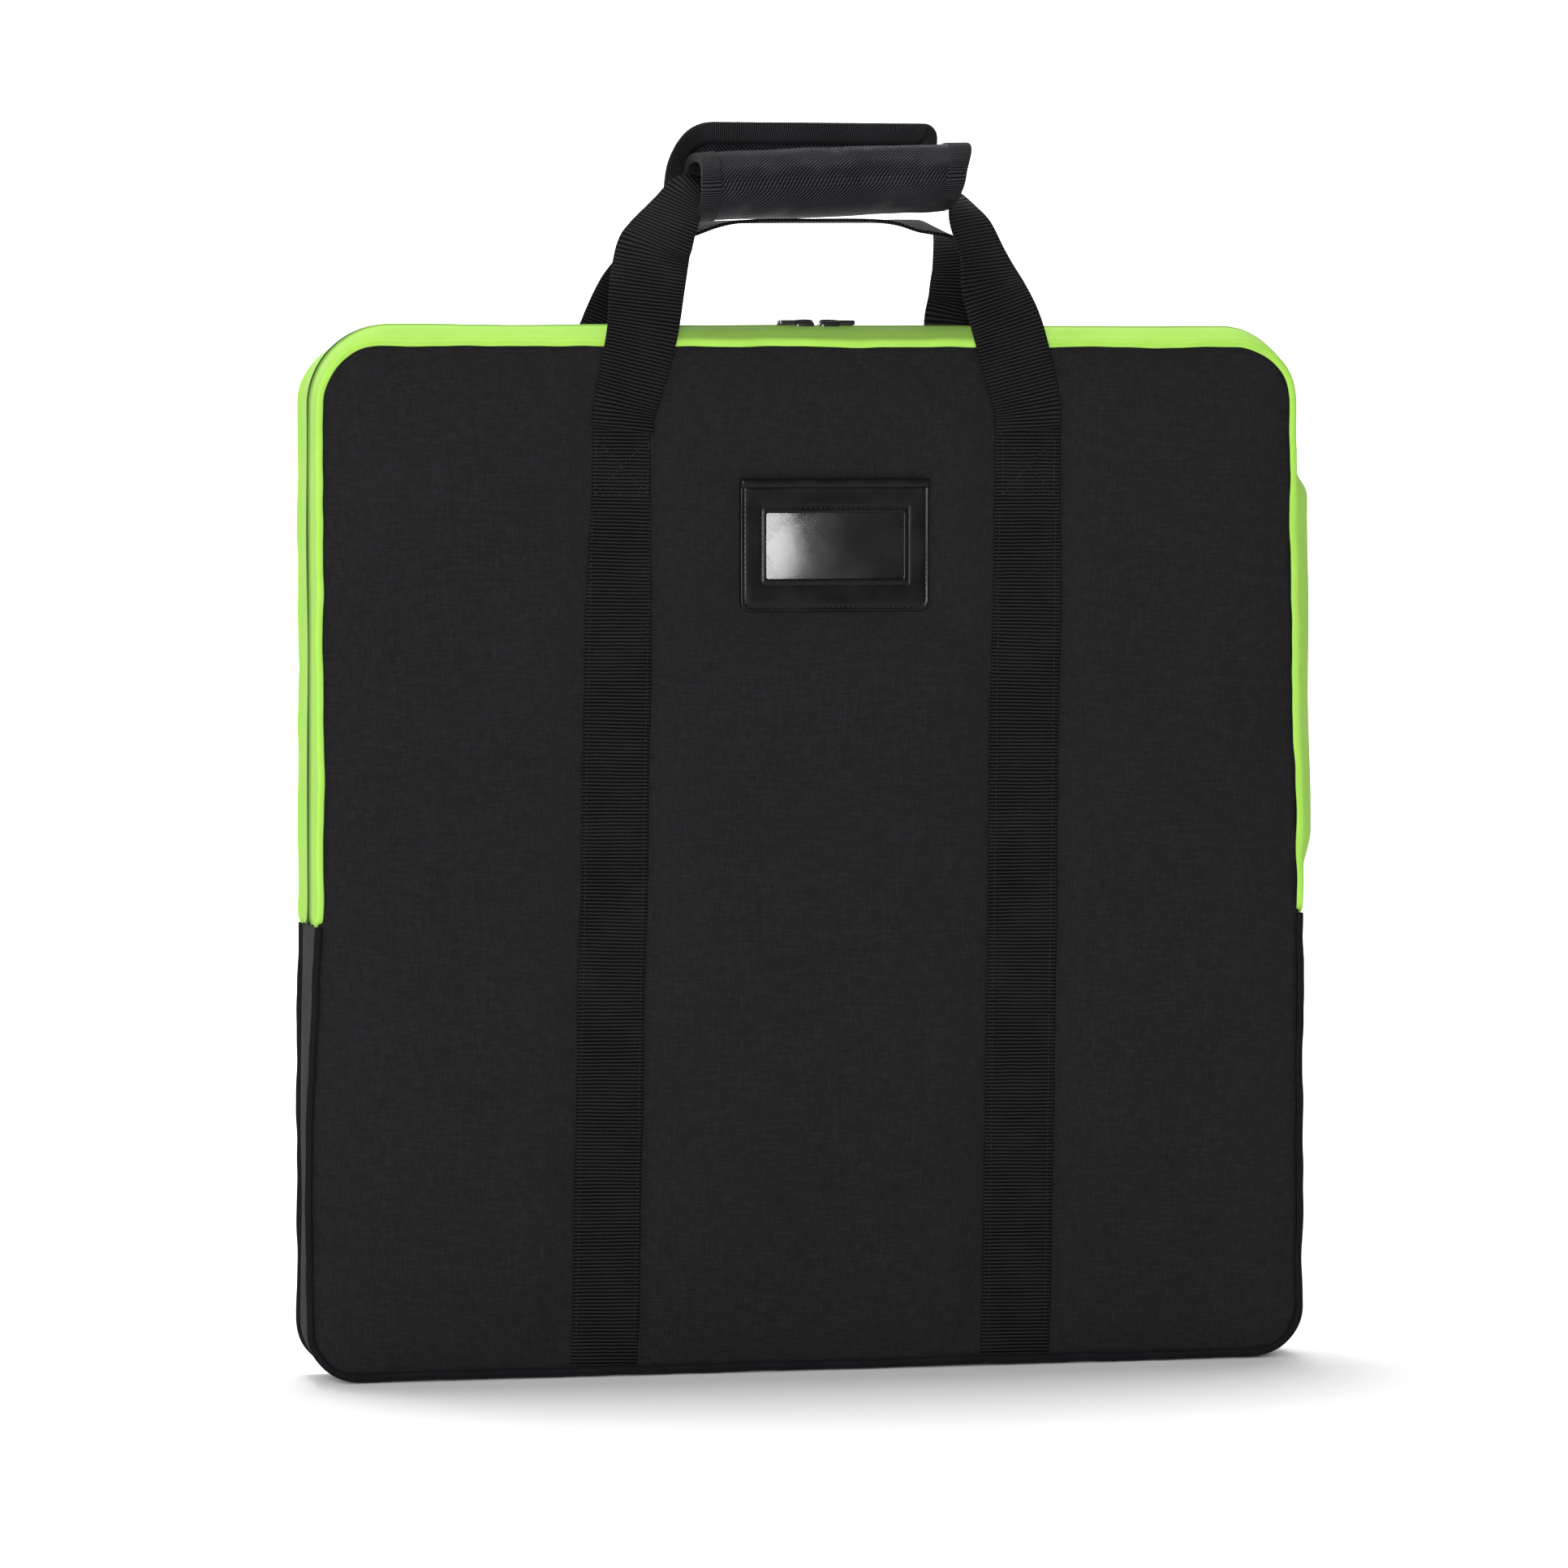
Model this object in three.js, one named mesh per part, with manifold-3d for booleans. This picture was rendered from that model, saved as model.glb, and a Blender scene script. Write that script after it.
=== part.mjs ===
// Soft portfolio case: a flat, padded, upright case with a three-sided zip, two webbing
// carry handles, a padded grip wrap and a clear identification holder on its front.
// Millimetres. X runs to the right, Y to the rear, Z up; z = 0 is the face it stands on.
import * as THREE from 'three';
import { mergeVertices } from 'three/addons/utils/BufferGeometryUtils.js';
import Module from 'manifold-3d';

const wasm = await Module();
wasm.setup();

// Overall size
const caseWidth = 510;
const caseHeight = 525;
const caseDepth = 50;
const topCornerRadius = 34;
const bottomCornerRadius = 25;

// Clearances
const layerGap = 0.3;
const cutGap = 0.3;

// Sheet thicknesses
const gussetThickness = 2;
const shellThickness = 1;
const foamThickness = 4.5;
const liningThickness = 0.8;

// Zip
const zipEndHeight = 228;
const zipSlit = 1;
const coilWidth = 2.5;
const coilHeight = 2;

// Webbing
const strapWidth = 37;
const strapThickness = 2;
const strapSpacing = 213;
const strapBottomMargin = 7;
const handleBaseDrop = 49;

// Handles
const handleShift = 8;
const gripRise = 73;
const frontGripDepth = -10;
const frontFoldRadius = 20;
const rearGripDepth = 14.6;
const gripClearance = 1.2;
const rearFoldRadius = 16;
const foldGripMargin = 3;
const foldStartTwist = 10;
const foldStartLean = 7;
const edgeMargin = 3;
const pivotMargin = 0.2;

// Grip wrap
const wrapLength = 140;
const rollWall = 4;
const rollHeight = 38;
const rollCornerRadius = 17;
const bindingWidth = 10;
const bindingStep = 0.6;
const slotClearance = 0.35;
const slotBelowMiddle = 1;
const slotCorner = 0.2;
const wrapFlapHeight = 47;
const wrapFlapThickness = 3;
const wrapFlapLift = 3;
const wrapFlapCorner = 8;
const hookTapeHeight = 25;
const hookTapeLength = 110;
const hookTapeThickness = 0.9;

// Identification holder
const idWidth = 98;
const idHeight = 66;
const idCentreX = 9.5;
const idTopDrop = 76;
const idCornerRadius = 5;
const idFrameThickness = 1.1;
const idWindowWidth = 71;
const idWindowHeight = 33;
const idWindowDrop = 16.5;
const idWindowOverlap = 6;
const idSheetThickness = 0.5;

// Zip sliders
const sliderPairX = 6.7;
const sliderNoseGap = 2.6;
const sliderLength = 10.5;
const sliderWidth = 9;
const sliderPlate = 1.4;
const sliderLift = 0.8;
const sliderPost = 0.4;
const sliderFlangeWidth = 4.3;
const crownLength = 6.4;
const crownWidth = 1.8;
const crownHeight = 2.1;
const crownBar = 0.6;
const tabPin = 0.8;
const tabArm = 1;
const tabReach = 13.5;
const tabWidth = 6;
const tabThickness = 0.9;
const tabHoleLength = 4.4;

// Derived places
const halfDepth = caseDepth / 2;
const panelInset = gussetThickness + layerGap;
const foamOuter = halfDepth - shellThickness - layerGap;
const foamInner = foamOuter - foamThickness;
const liningOuter = foamInner - layerGap;
const liningInner = liningOuter - liningThickness;
const lowerTop = zipEndHeight - cutGap / 2;
const upperBottom = zipEndHeight + cutGap / 2;
const strapInner = halfDepth + layerGap;
const strapOuter = strapInner + strapThickness;
const handleBaseHeight = caseHeight - handleBaseDrop;
const gripHeight = caseHeight + gripRise;
const rollDepth = strapWidth + 2 * rollWall;
const rollZ = gripHeight + slotBelowMiddle;
const rollBottom = rollZ - rollHeight / 2;

// Materials: one colour and finish for each kind of cloth or fitting
const finish = {
  shell: { color: 0x26282a, roughness: 0.9 },
  zip: { color: 0x9be03a, roughness: 0.75 },
  coil: { color: 0x86c832, roughness: 0.5 },
  webbing: { color: 0x1b1c1e, roughness: 0.85 },
  foam: { color: 0x3a3b3d, roughness: 1 },
  lining: { color: 0x2e3032, roughness: 0.8 },
  twill: { color: 0x2f3135, roughness: 0.6 },
  binding: { color: 0x232427, roughness: 0.8 },
  hook: { color: 0x18191a, roughness: 1 },
  leatherette: { color: 0x141416, roughness: 0.35 },
  clear: { color: 0xe8ecee, roughness: 0.08 },
  paint: { color: 0x0c0d0e, roughness: 0.25, metalness: 0.6 },
};

const group = new THREE.Group();

// Adds one named piece with its own material
function add(name, geometry, kind) {
  const mesh = new THREE.Mesh(geometry, new THREE.MeshStandardMaterial(finish[kind]));
  mesh.name = name;
  group.add(mesh);
}

// A flat outline in X and Z, made solid between two depths along Y
function plate(shape, yLow, yHigh) {
  const solid = new THREE.ExtrudeGeometry(shape, {
    depth: yHigh - yLow, bevelEnabled: false, curveSegments: 7,
  });
  return solid.rotateX(Math.PI / 2).translate(0, yHigh, 0);
}

function rectangle(xLow, xHigh, zLow, zHigh) {
  const shape = new THREE.Shape();
  shape.moveTo(xLow, zLow);
  shape.lineTo(xHigh, zLow);
  shape.lineTo(xHigh, zHigh);
  shape.lineTo(xLow, zHigh);
  return shape;
}

// A rectangle whose low corners and high corners have their own radii
function rounded(Path, xLow, xHigh, zLow, zHigh, lowRadius, highRadius) {
  const path = new Path();
  path.moveTo(xLow + lowRadius, zLow);
  path.lineTo(xHigh - lowRadius, zLow);
  path.absarc(xHigh - lowRadius, zLow + lowRadius, lowRadius, -Math.PI / 2, 0);
  path.lineTo(xHigh, zHigh - highRadius);
  path.absarc(xHigh - highRadius, zHigh - highRadius, highRadius, 0, Math.PI / 2);
  path.lineTo(xLow + highRadius, zHigh);
  path.absarc(xLow + highRadius, zHigh - highRadius, highRadius, Math.PI / 2, Math.PI);
  path.lineTo(xLow, zLow + lowRadius);
  path.absarc(xLow + lowRadius, zLow + lowRadius, lowRadius, Math.PI, Math.PI * 1.5);
  return path;
}

// The case outline, drawn in by an inset, above the zip ends
function upperPanel(inset) {
  const side = caseWidth / 2 - inset;
  const radius = topCornerRadius - inset;
  const top = caseHeight - inset;
  const shape = new THREE.Shape();
  shape.moveTo(-side, upperBottom);
  shape.lineTo(side, upperBottom);
  shape.lineTo(side, top - radius);
  shape.absarc(side - radius, top - radius, radius, 0, Math.PI / 2);
  shape.lineTo(-side + radius, top);
  shape.absarc(-side + radius, top - radius, radius, Math.PI / 2, Math.PI);
  return shape;
}

// The same outline below the zip ends
function lowerPanel(inset) {
  const side = caseWidth / 2 - inset;
  const radius = bottomCornerRadius - inset;
  const shape = new THREE.Shape();
  shape.moveTo(side, lowerTop);
  shape.lineTo(-side, lowerTop);
  shape.lineTo(-side, inset + radius);
  shape.absarc(-side + radius, inset + radius, radius, Math.PI, Math.PI * 1.5);
  shape.lineTo(side - radius, inset);
  shape.absarc(side - radius, inset + radius, radius, Math.PI * 1.5, Math.PI * 2);
  return shape;
}

function wholePanel(inset) {
  const side = caseWidth / 2 - inset;
  const lowRadius = bottomCornerRadius - inset;
  const highRadius = topCornerRadius - inset;
  return rounded(THREE.Shape, -side, side, inset, caseHeight - inset, lowRadius, highRadius);
}

// A band that runs up one side, over the top and down the other side
function upperBand(outer, inner) {
  const centreX = caseWidth / 2 - topCornerRadius;
  const centreZ = caseHeight - topCornerRadius;
  const shape = new THREE.Shape();
  shape.moveTo(-caseWidth / 2 + outer, upperBottom);
  shape.absarc(-centreX, centreZ, topCornerRadius - outer, Math.PI, Math.PI / 2, true);
  shape.absarc(centreX, centreZ, topCornerRadius - outer, Math.PI / 2, 0, true);
  shape.lineTo(caseWidth / 2 - outer, upperBottom);
  shape.lineTo(caseWidth / 2 - inner, upperBottom);
  shape.absarc(centreX, centreZ, topCornerRadius - inner, 0, Math.PI / 2);
  shape.absarc(-centreX, centreZ, topCornerRadius - inner, Math.PI / 2, Math.PI);
  shape.lineTo(-caseWidth / 2 + inner, upperBottom);
  return shape;
}

// One side of the lower band, from its bottom corner up to the zip ends. side is -1 or 1.
function sideBand(side, outer, inner) {
  const centreX = caseWidth / 2 - bottomCornerRadius;
  const centreZ = bottomCornerRadius;
  const outerRadius = bottomCornerRadius - outer;
  const innerRadius = bottomCornerRadius - inner;
  const left = side < 0;
  const down = Math.PI * 1.5;
  const out = left ? Math.PI : Math.PI * 2;
  const shape = new THREE.Shape();
  shape.moveTo(side * centreX, outer);
  shape.absarc(side * centreX, centreZ, outerRadius, down, out, left);
  shape.lineTo(side * (caseWidth / 2 - outer), lowerTop);
  shape.lineTo(side * (caseWidth / 2 - inner), lowerTop);
  shape.absarc(side * centreX, centreZ, innerRadius, out, down, !left);
  return shape;
}

// The strip the case stands on, between the bottom corners
function baseBand(outer, inner) {
  const reach = caseWidth / 2 - bottomCornerRadius - cutGap;
  return rectangle(-reach, reach, outer, inner);
}

// Rear half: outer cloth, foam and lining, each one sheet over the whole outline
add('rear_panel', plate(wholePanel(panelInset), halfDepth - shellThickness, halfDepth), 'shell');
add('rear_foam', plate(wholePanel(panelInset), foamInner, foamOuter), 'foam');
add('rear_lining', plate(wholePanel(panelInset), liningInner, liningOuter), 'lining');

// Front half below the zip ends, which stays with the rear half
const lowerOutline = lowerPanel(panelInset);
add('front_panel_lower', plate(lowerOutline, -halfDepth, -halfDepth + shellThickness), 'shell');
add('front_foam_lower', plate(lowerOutline, -foamOuter, -foamInner), 'foam');
add('front_lining_lower', plate(lowerOutline, -liningOuter, -liningInner), 'lining');

// Front half above the zip ends, which folds forward
const upperOutline = upperPanel(panelInset);
add('front_panel_upper', plate(upperOutline, -halfDepth, -halfDepth + shellThickness), 'shell');
add('front_foam_upper', plate(upperOutline, -foamOuter, -foamInner), 'foam');
add('front_lining_upper', plate(upperOutline, -liningOuter, -liningInner), 'lining');

// Gusset: cloth under the case and up to the zip ends, cut in three lengths, each lined
const liningReach = liningInner - layerGap;
const liningBack = panelInset + liningThickness;
add('base_gusset', plate(baseBand(0, gussetThickness), -halfDepth, halfDepth), 'shell');
add('base_lining', plate(baseBand(panelInset, liningBack), -liningReach, liningReach), 'lining');
for (const [side, sign] of [['left', -1], ['right', 1]]) {
  const cloth = sideBand(sign, 0, gussetThickness);
  const lining = sideBand(sign, panelInset, liningBack);
  add(`side_gusset_${side}`, plate(cloth, -halfDepth, halfDepth), 'shell');
  add(`side_lining_${side}`, plate(lining, -liningReach, liningReach), 'lining');
}

// Zip: one wide tape to each panel and a coil on the inner face of each tape
const tapeBand = upperBand(0, gussetThickness);
const coilBand = upperBand(panelInset, panelInset + coilHeight);
const slitEdge = zipSlit / 2;
add('zip_tape_rear', plate(tapeBand, slitEdge, halfDepth), 'zip');
add('zip_tape_front', plate(tapeBand, -halfDepth, -slitEdge), 'zip');
add('zip_coil_rear', plate(coilBand, slitEdge, slitEdge + coilWidth), 'coil');
add('zip_coil_front', plate(coilBand, -slitEdge - coilWidth, -slitEdge), 'coil');

// Webbing straps, sewn flat on the panels from the bottom seam up to the handles
for (const [side, sign] of [['left', -1], ['right', 1]]) {
  const low = sign * strapSpacing / 2 - strapWidth / 2;
  const high = low + strapWidth;
  const strapTop = handleBaseHeight - cutGap / 2;
  const lower = rectangle(low, high, strapBottomMargin, lowerTop);
  const upper = rectangle(low, high, upperBottom, strapTop);
  const whole = rectangle(low, high, strapBottomMargin, strapTop);
  add(`front_strap_${side}_lower`, plate(lower, -strapOuter, -strapInner), 'webbing');
  add(`front_strap_${side}_upper`, plate(upper, -strapOuter, -strapInner), 'webbing');
  add(`rear_strap_${side}`, plate(whole, strapInner, strapOuter), 'webbing');
}

// A flat webbing solid through stations of centre, width direction and face direction
function ribbon(stations) {
  const points = [];
  for (const { centre, across, face } of stations) {
    for (const [w, t] of [[-1, -1], [1, -1], [1, 1], [-1, 1]]) {
      const corner = centre.clone();
      corner.addScaledVector(across, w * strapWidth / 2);
      corner.addScaledVector(face, t * strapThickness / 2);
      points.push(corner);
    }
  }
  const last = 4 * (stations.length - 1);
  const index = [0, 2, 1, 0, 3, 2, last, last + 1, last + 2, last, last + 2, last + 3];
  for (let row = 0; row < last; row += 4) {
    for (let side = 0; side < 4; side += 1) {
      const a = row + side;
      const b = row + (side + 1) % 4;
      index.push(a, b, b + 4, a, b + 4, a + 4);
    }
  }
  const solid = new THREE.BufferGeometry().setFromPoints(points);
  solid.setIndex(index);
  return solid;
}

// Stations of one leg of a handle. side is -1 left or 1 right; front is -1 front or 1 rear.
// The leg rises face outward, then folds over a quarter circle while it turns a quarter
// turn, so that its inner edge comes outward and its outer face lies on top of the grip.
function legStations({ side, front, gripHalf, gripY, gripZ, radius, tilt }) {
  const base = new THREE.Vector3(side * strapSpacing / 2, front * (strapInner + strapOuter) / 2,
    handleBaseHeight + cutGap / 2);
  const foldX = handleShift + side * (gripHalf + radius);
  const foldY = gripY + front * foldStartLean;
  const foldZ = gripZ - radius;
  const legSteps = 12;
  const foldSteps = 10;
  const stations = [];
  const station = (centre, bend, twist) => {
    const along = new THREE.Vector3(-side * Math.sin(bend), 0, Math.cos(bend));
    const outward = new THREE.Vector3(side * Math.cos(bend), 0, Math.sin(bend));
    const depth = new THREE.Vector3(0, -front * Math.cos(tilt), -Math.sin(tilt));
    const across = outward.multiplyScalar(Math.cos(twist)).addScaledVector(depth, Math.sin(twist));
    across.multiplyScalar(side).normalize();
    const face = new THREE.Vector3().crossVectors(along, across).normalize();
    stations.push({ centre, across, face });
  };
  const startTwist = THREE.MathUtils.degToRad(foldStartTwist);
  for (let step = 0; step < legSteps; step += 1) {
    const t = step / legSteps;
    const z = THREE.MathUtils.lerp(base.z, foldZ, t);
    const drawnIn = THREE.MathUtils.smoothstep(z, base.z, foldZ);
    const overEdge = THREE.MathUtils.smoothstep(z, caseHeight + edgeMargin, foldZ);
    const centre = new THREE.Vector3(
      THREE.MathUtils.lerp(base.x, foldX, drawnIn),
      THREE.MathUtils.lerp(base.y, foldY, overEdge),
      z,
    );
    station(centre, 0, startTwist * overEdge);
  }
  for (let step = 0; step <= foldSteps; step += 1) {
    const bend = step / foldSteps * Math.PI / 2;
    const centre = new THREE.Vector3(
      foldX - side * radius * (1 - Math.cos(bend)),
      THREE.MathUtils.lerp(foldY, gripY, step / foldSteps),
      foldZ + radius * Math.sin(bend),
    );
    station(centre, bend, THREE.MathUtils.lerp(startTwist, Math.PI / 2, step / foldSteps));
  }
  return stations;
}

// A whole handle: the left leg up, along the grip, and the right leg down
function handle(options) {
  const left = legStations({ ...options, side: -1 });
  const right = legStations({ ...options, side: 1 }).reverse();
  for (const station of right) {
    station.face.negate();
  }
  return ribbon([...left, ...right]);
}

const gripHalf = wrapLength / 2 + foldGripMargin;
const frontHandle = handle({
  front: -1, gripHalf, gripY: frontGripDepth, gripZ: gripHeight, radius: frontFoldRadius, tilt: 0,
});
add('front_handle_webbing', frontHandle, 'webbing');

// The rear grip lies below the wrap, tangent to a circle about the rear handle's fold line,
// small enough for its edges to pass under the wrap as the rear handle folds back
const rearPivotY = strapOuter + pivotMargin;
const edgeReach = rollBottom - handleBaseHeight - strapThickness / 2 - gripClearance;
const rearGripRadius = Math.sqrt(edgeReach ** 2 - (strapWidth / 2) ** 2);
const rearLean = rearPivotY - rearGripDepth;
const rearTilt = Math.asin(rearLean / rearGripRadius);
const rearHandle = handle({
  front: 1, gripHalf: gripHalf - 1, gripY: rearGripDepth,
  gripZ: handleBaseHeight + Math.sqrt(rearGripRadius ** 2 - rearLean ** 2),
  radius: rearFoldRadius, tilt: rearTilt,
});
add('rear_handle_webbing', rearHandle, 'webbing');

// Grip wrap: a padded roll round the front grip, with a binding over each end
function rollSection(grow) {
  const deep = rollDepth / 2 + grow;
  const radius = rollCornerRadius + grow;
  const high = rollHeight / 2 + grow;
  const shape = rounded(THREE.Shape, -deep, deep, -high, high, radius, radius);
  const slotDeep = strapWidth / 2 + slotClearance;
  const slotHigh = strapThickness / 2 + slotClearance;
  const slot = rounded(
    THREE.Path, -slotDeep, slotDeep, -slotHigh - slotBelowMiddle, slotHigh - slotBelowMiddle,
    slotCorner, slotCorner,
  );
  shape.holes.push(slot);
  return shape;
}

// Extrudes a depth and height section along X
function along(shape, xLow, xHigh, y, z) {
  const solid = new THREE.ExtrudeGeometry(shape, {
    depth: xHigh - xLow, bevelEnabled: false, curveSegments: 6,
  });
  return solid.rotateX(Math.PI / 2).rotateZ(Math.PI / 2).translate(xLow, y, z);
}

const wrapLow = handleShift - wrapLength / 2;
const wrapHigh = handleShift + wrapLength / 2;
const rollLow = wrapLow + bindingWidth + layerGap;
const rollHigh = wrapHigh - bindingWidth - layerGap;
add('handle_wrap_roll', along(rollSection(0), rollLow, rollHigh, frontGripDepth, rollZ), 'twill');
const bindingShape = rollSection(bindingStep);
const bindingLeft = along(bindingShape, wrapLow, wrapLow + bindingWidth, frontGripDepth, rollZ);
const bindingRight = along(bindingShape, wrapHigh - bindingWidth, wrapHigh, frontGripDepth, rollZ);
add('wrap_binding_left', bindingLeft, 'binding');
add('wrap_binding_right', bindingRight, 'binding');

// Wrap flap: the free end of the wrap, standing behind the roll inside its own binding
const hookFront = frontGripDepth + rollDepth / 2 + bindingStep + layerGap;
const hookRear = hookFront + hookTapeThickness;
const flapFront = hookRear + layerGap;
const flapRear = flapFront + wrapFlapThickness;
const flapLow = rollBottom + wrapFlapLift;
const flapHigh = flapLow + wrapFlapHeight;
const flapRing = rounded(
  THREE.Shape, wrapLow, wrapHigh, flapLow, flapHigh, wrapFlapCorner, wrapFlapCorner,
);
const innerRadius = wrapFlapCorner / 2;
const coreEdge = bindingWidth / 2;
flapRing.holes.push(rounded(
  THREE.Path, wrapLow + coreEdge, wrapHigh - coreEdge, flapLow + coreEdge, flapHigh - coreEdge,
  innerRadius, innerRadius,
));
add('wrap_flap_binding', plate(flapRing, flapFront, flapRear), 'binding');
const coreInset = coreEdge + layerGap;
const flapCore = rounded(
  THREE.Shape, wrapLow + coreInset, wrapHigh - coreInset, flapLow + coreInset,
  flapHigh - coreInset, innerRadius, innerRadius,
);
add('handle_wrap_flap', plate(flapCore, flapFront, flapRear), 'twill');
const hookLow = flapLow + (wrapFlapHeight - hookTapeHeight) / 2;
const hookTape = rectangle(
  handleShift - hookTapeLength / 2, handleShift + hookTapeLength / 2,
  hookLow, hookLow + hookTapeHeight,
);
add('wrap_hook_tape', plate(hookTape, hookFront, hookRear), 'hook');

// Identification holder: backing, clear sheet and a stitched frame with a window
const idLow = idCentreX - idWidth / 2;
const idHigh = idCentreX + idWidth / 2;
const idTop = caseHeight - idTopDrop;
const idBottom = idTop - idHeight;
const idBackRear = -halfDepth - layerGap;
const idBackFront = idBackRear - idSheetThickness;
const idClearRear = idBackFront - layerGap;
const idClearFront = idClearRear - idSheetThickness;
const idFrameRear = idClearFront - layerGap;
const idFrameFront = idFrameRear - idFrameThickness;
function idOutline() {
  return rounded(THREE.Shape, idLow, idHigh, idBottom, idTop, idCornerRadius, idCornerRadius / 2);
}
const windowLow = idCentreX - idWindowWidth / 2;
const windowHigh = idCentreX + idWindowWidth / 2;
const windowTop = idTop - idWindowDrop;
const windowBottom = windowTop - idWindowHeight;
const idFrame = idOutline();
idFrame.holes.push(rounded(THREE.Path, windowLow, windowHigh, windowBottom, windowTop, 1, 1));
const idClear = rectangle(
  windowLow - idWindowOverlap, windowHigh + idWindowOverlap,
  windowBottom - idWindowOverlap, windowTop + idWindowOverlap,
);
add('id_backing', plate(idOutline(), idBackFront, idBackRear), 'twill');
add('id_window', plate(idClear, idClearFront, idClearRear), 'clear');
add('id_frame', plate(idFrame, idFrameFront, idFrameRear), 'leatherette');

// A box from one corner to the other
function block(xLow, xHigh, yLow, yHigh, zLow, zHigh) {
  const box = new THREE.BoxGeometry(xHigh - xLow, yHigh - yLow, zHigh - zLow);
  return box.translate((xLow + xHigh) / 2, (yLow + yHigh) / 2, (zLow + zHigh) / 2);
}

// Joins overlapping closed geometries into one solid
function join(geometries) {
  const solids = geometries.map((geometry) => {
    geometry.deleteAttribute('normal');
    geometry.deleteAttribute('uv');
    const merged = mergeVertices(geometry);
    return new wasm.Manifold(new wasm.Mesh({
      numProp: 3,
      vertProperties: new Float32Array(merged.attributes.position.array),
      triVerts: new Uint32Array(merged.index.array),
    }));
  });
  const mesh = solids.reduce((whole, solid) => whole.add(solid)).getMesh();
  const joined = new THREE.BufferGeometry();
  joined.setAttribute('position', new THREE.BufferAttribute(mesh.vertProperties, 3));
  joined.setIndex(new THREE.BufferAttribute(mesh.triVerts, 1));
  return joined;
}

// Slider: a plate over the tapes, a post through the slit, a flange under the rear coil and
// a crown that holds the pull tab's pin. out is the direction of its pull tab, -1 or 1.
const slideTop = caseHeight + sliderLift;
const plateTop = slideTop + sliderPlate;
const coilUnder = caseHeight - panelInset - coilHeight - layerGap;
const flangeLow = coilUnder - sliderPlate;
const pinHeight = plateTop + (crownHeight - crownBar) / 2;
for (const [side, out] of [['left', -1], ['right', 1]]) {
  const centre = sliderPairX + out * (sliderNoseGap + sliderLength) / 2;
  const half = sliderLength / 2;
  const noseTaper = sliderWidth / 4;
  const outline = new THREE.Shape();
  outline.moveTo(-out * half, -noseTaper);
  outline.lineTo(0, -sliderWidth / 2);
  outline.lineTo(out * half, -sliderWidth / 2 + 1);
  outline.lineTo(out * half, sliderWidth / 2 - 1);
  outline.lineTo(0, sliderWidth / 2);
  outline.lineTo(-out * half, noseTaper);
  const topPlate = new THREE.ExtrudeGeometry(outline, { depth: sliderPlate, bevelEnabled: false });
  topPlate.translate(centre, 0, slideTop);
  const crownHalf = crownLength / 2;
  const crownTop = plateTop + crownHeight;
  const wide = crownWidth / 2;
  const sunk = plateTop - sliderPlate / 2;
  const feet = [-1, 1].map((end) => {
    const inner = centre + end * (crownHalf - crownBar);
    const outer = centre + end * crownHalf;
    return block(Math.min(inner, outer), Math.max(inner, outer), -wide, wide, sunk, crownTop);
  });
  const crown = block(
    centre - crownHalf, centre + crownHalf, -wide, wide, crownTop - crownBar, crownTop,
  );
  const post = block(
    centre - half + 2, centre + half - 2, -sliderPost / 2, sliderPost / 2,
    flangeLow, slideTop + sliderPlate / 2,
  );
  const flange = block(
    centre - half + 1, centre + half - 1, -sliderPost / 2, sliderFlangeWidth,
    flangeLow, coilUnder,
  );
  add(`zip_slider_${side}`, join([topPlate, crown, ...feet, post, flange]), 'paint');

  // Pull tab: a pin inside the crown, two arms beside it and a flat grip beyond
  const armInner = crownWidth / 2 + layerGap;
  const armOuter = armInner + tabArm;
  const pinHalf = tabPin / 2;
  const pin = block(
    centre - pinHalf, centre + pinHalf, -armOuter, armOuter,
    pinHeight - pinHalf, pinHeight + pinHalf,
  );
  const reach = (from, to, yLow, yHigh) => block(
    centre + Math.min(out * from, out * to), centre + Math.max(out * from, out * to),
    yLow, yHigh, pinHeight - tabThickness / 2, pinHeight + tabThickness / 2,
  );
  const arms = [
    reach(-pinHalf, tabHoleLength, -armOuter, -armInner),
    reach(-pinHalf, tabHoleLength, armInner, armOuter),
  ];
  const grip = reach(tabHoleLength - 0.5, tabReach, -tabWidth / 2, tabWidth / 2);
  add(`pull_tab_${side}`, join([pin, ...arms, grip]), 'paint');
}

export default group;
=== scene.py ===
# Soft portfolio case: padded covers, zip, webbing handles, grip wrap and card holder
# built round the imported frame. Everything is in metres.
import math

import bmesh
import bpy
import numpy as np
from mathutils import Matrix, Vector


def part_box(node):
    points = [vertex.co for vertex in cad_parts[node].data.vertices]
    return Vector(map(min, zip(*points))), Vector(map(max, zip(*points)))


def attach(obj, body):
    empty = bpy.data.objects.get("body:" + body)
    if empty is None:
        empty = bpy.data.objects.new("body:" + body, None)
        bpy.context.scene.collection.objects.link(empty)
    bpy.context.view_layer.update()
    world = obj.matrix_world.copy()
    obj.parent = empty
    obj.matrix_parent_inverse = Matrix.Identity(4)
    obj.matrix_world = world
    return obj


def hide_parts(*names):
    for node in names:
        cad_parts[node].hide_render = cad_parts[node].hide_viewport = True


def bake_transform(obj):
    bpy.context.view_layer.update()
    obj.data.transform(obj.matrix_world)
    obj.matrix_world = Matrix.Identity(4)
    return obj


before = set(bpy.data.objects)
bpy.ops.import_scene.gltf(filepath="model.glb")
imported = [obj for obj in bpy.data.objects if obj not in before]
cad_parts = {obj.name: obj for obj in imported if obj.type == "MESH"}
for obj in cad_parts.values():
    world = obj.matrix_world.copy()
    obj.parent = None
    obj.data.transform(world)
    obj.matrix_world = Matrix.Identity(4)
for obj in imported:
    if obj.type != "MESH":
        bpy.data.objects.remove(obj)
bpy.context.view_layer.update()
mm = 0.001

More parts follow.
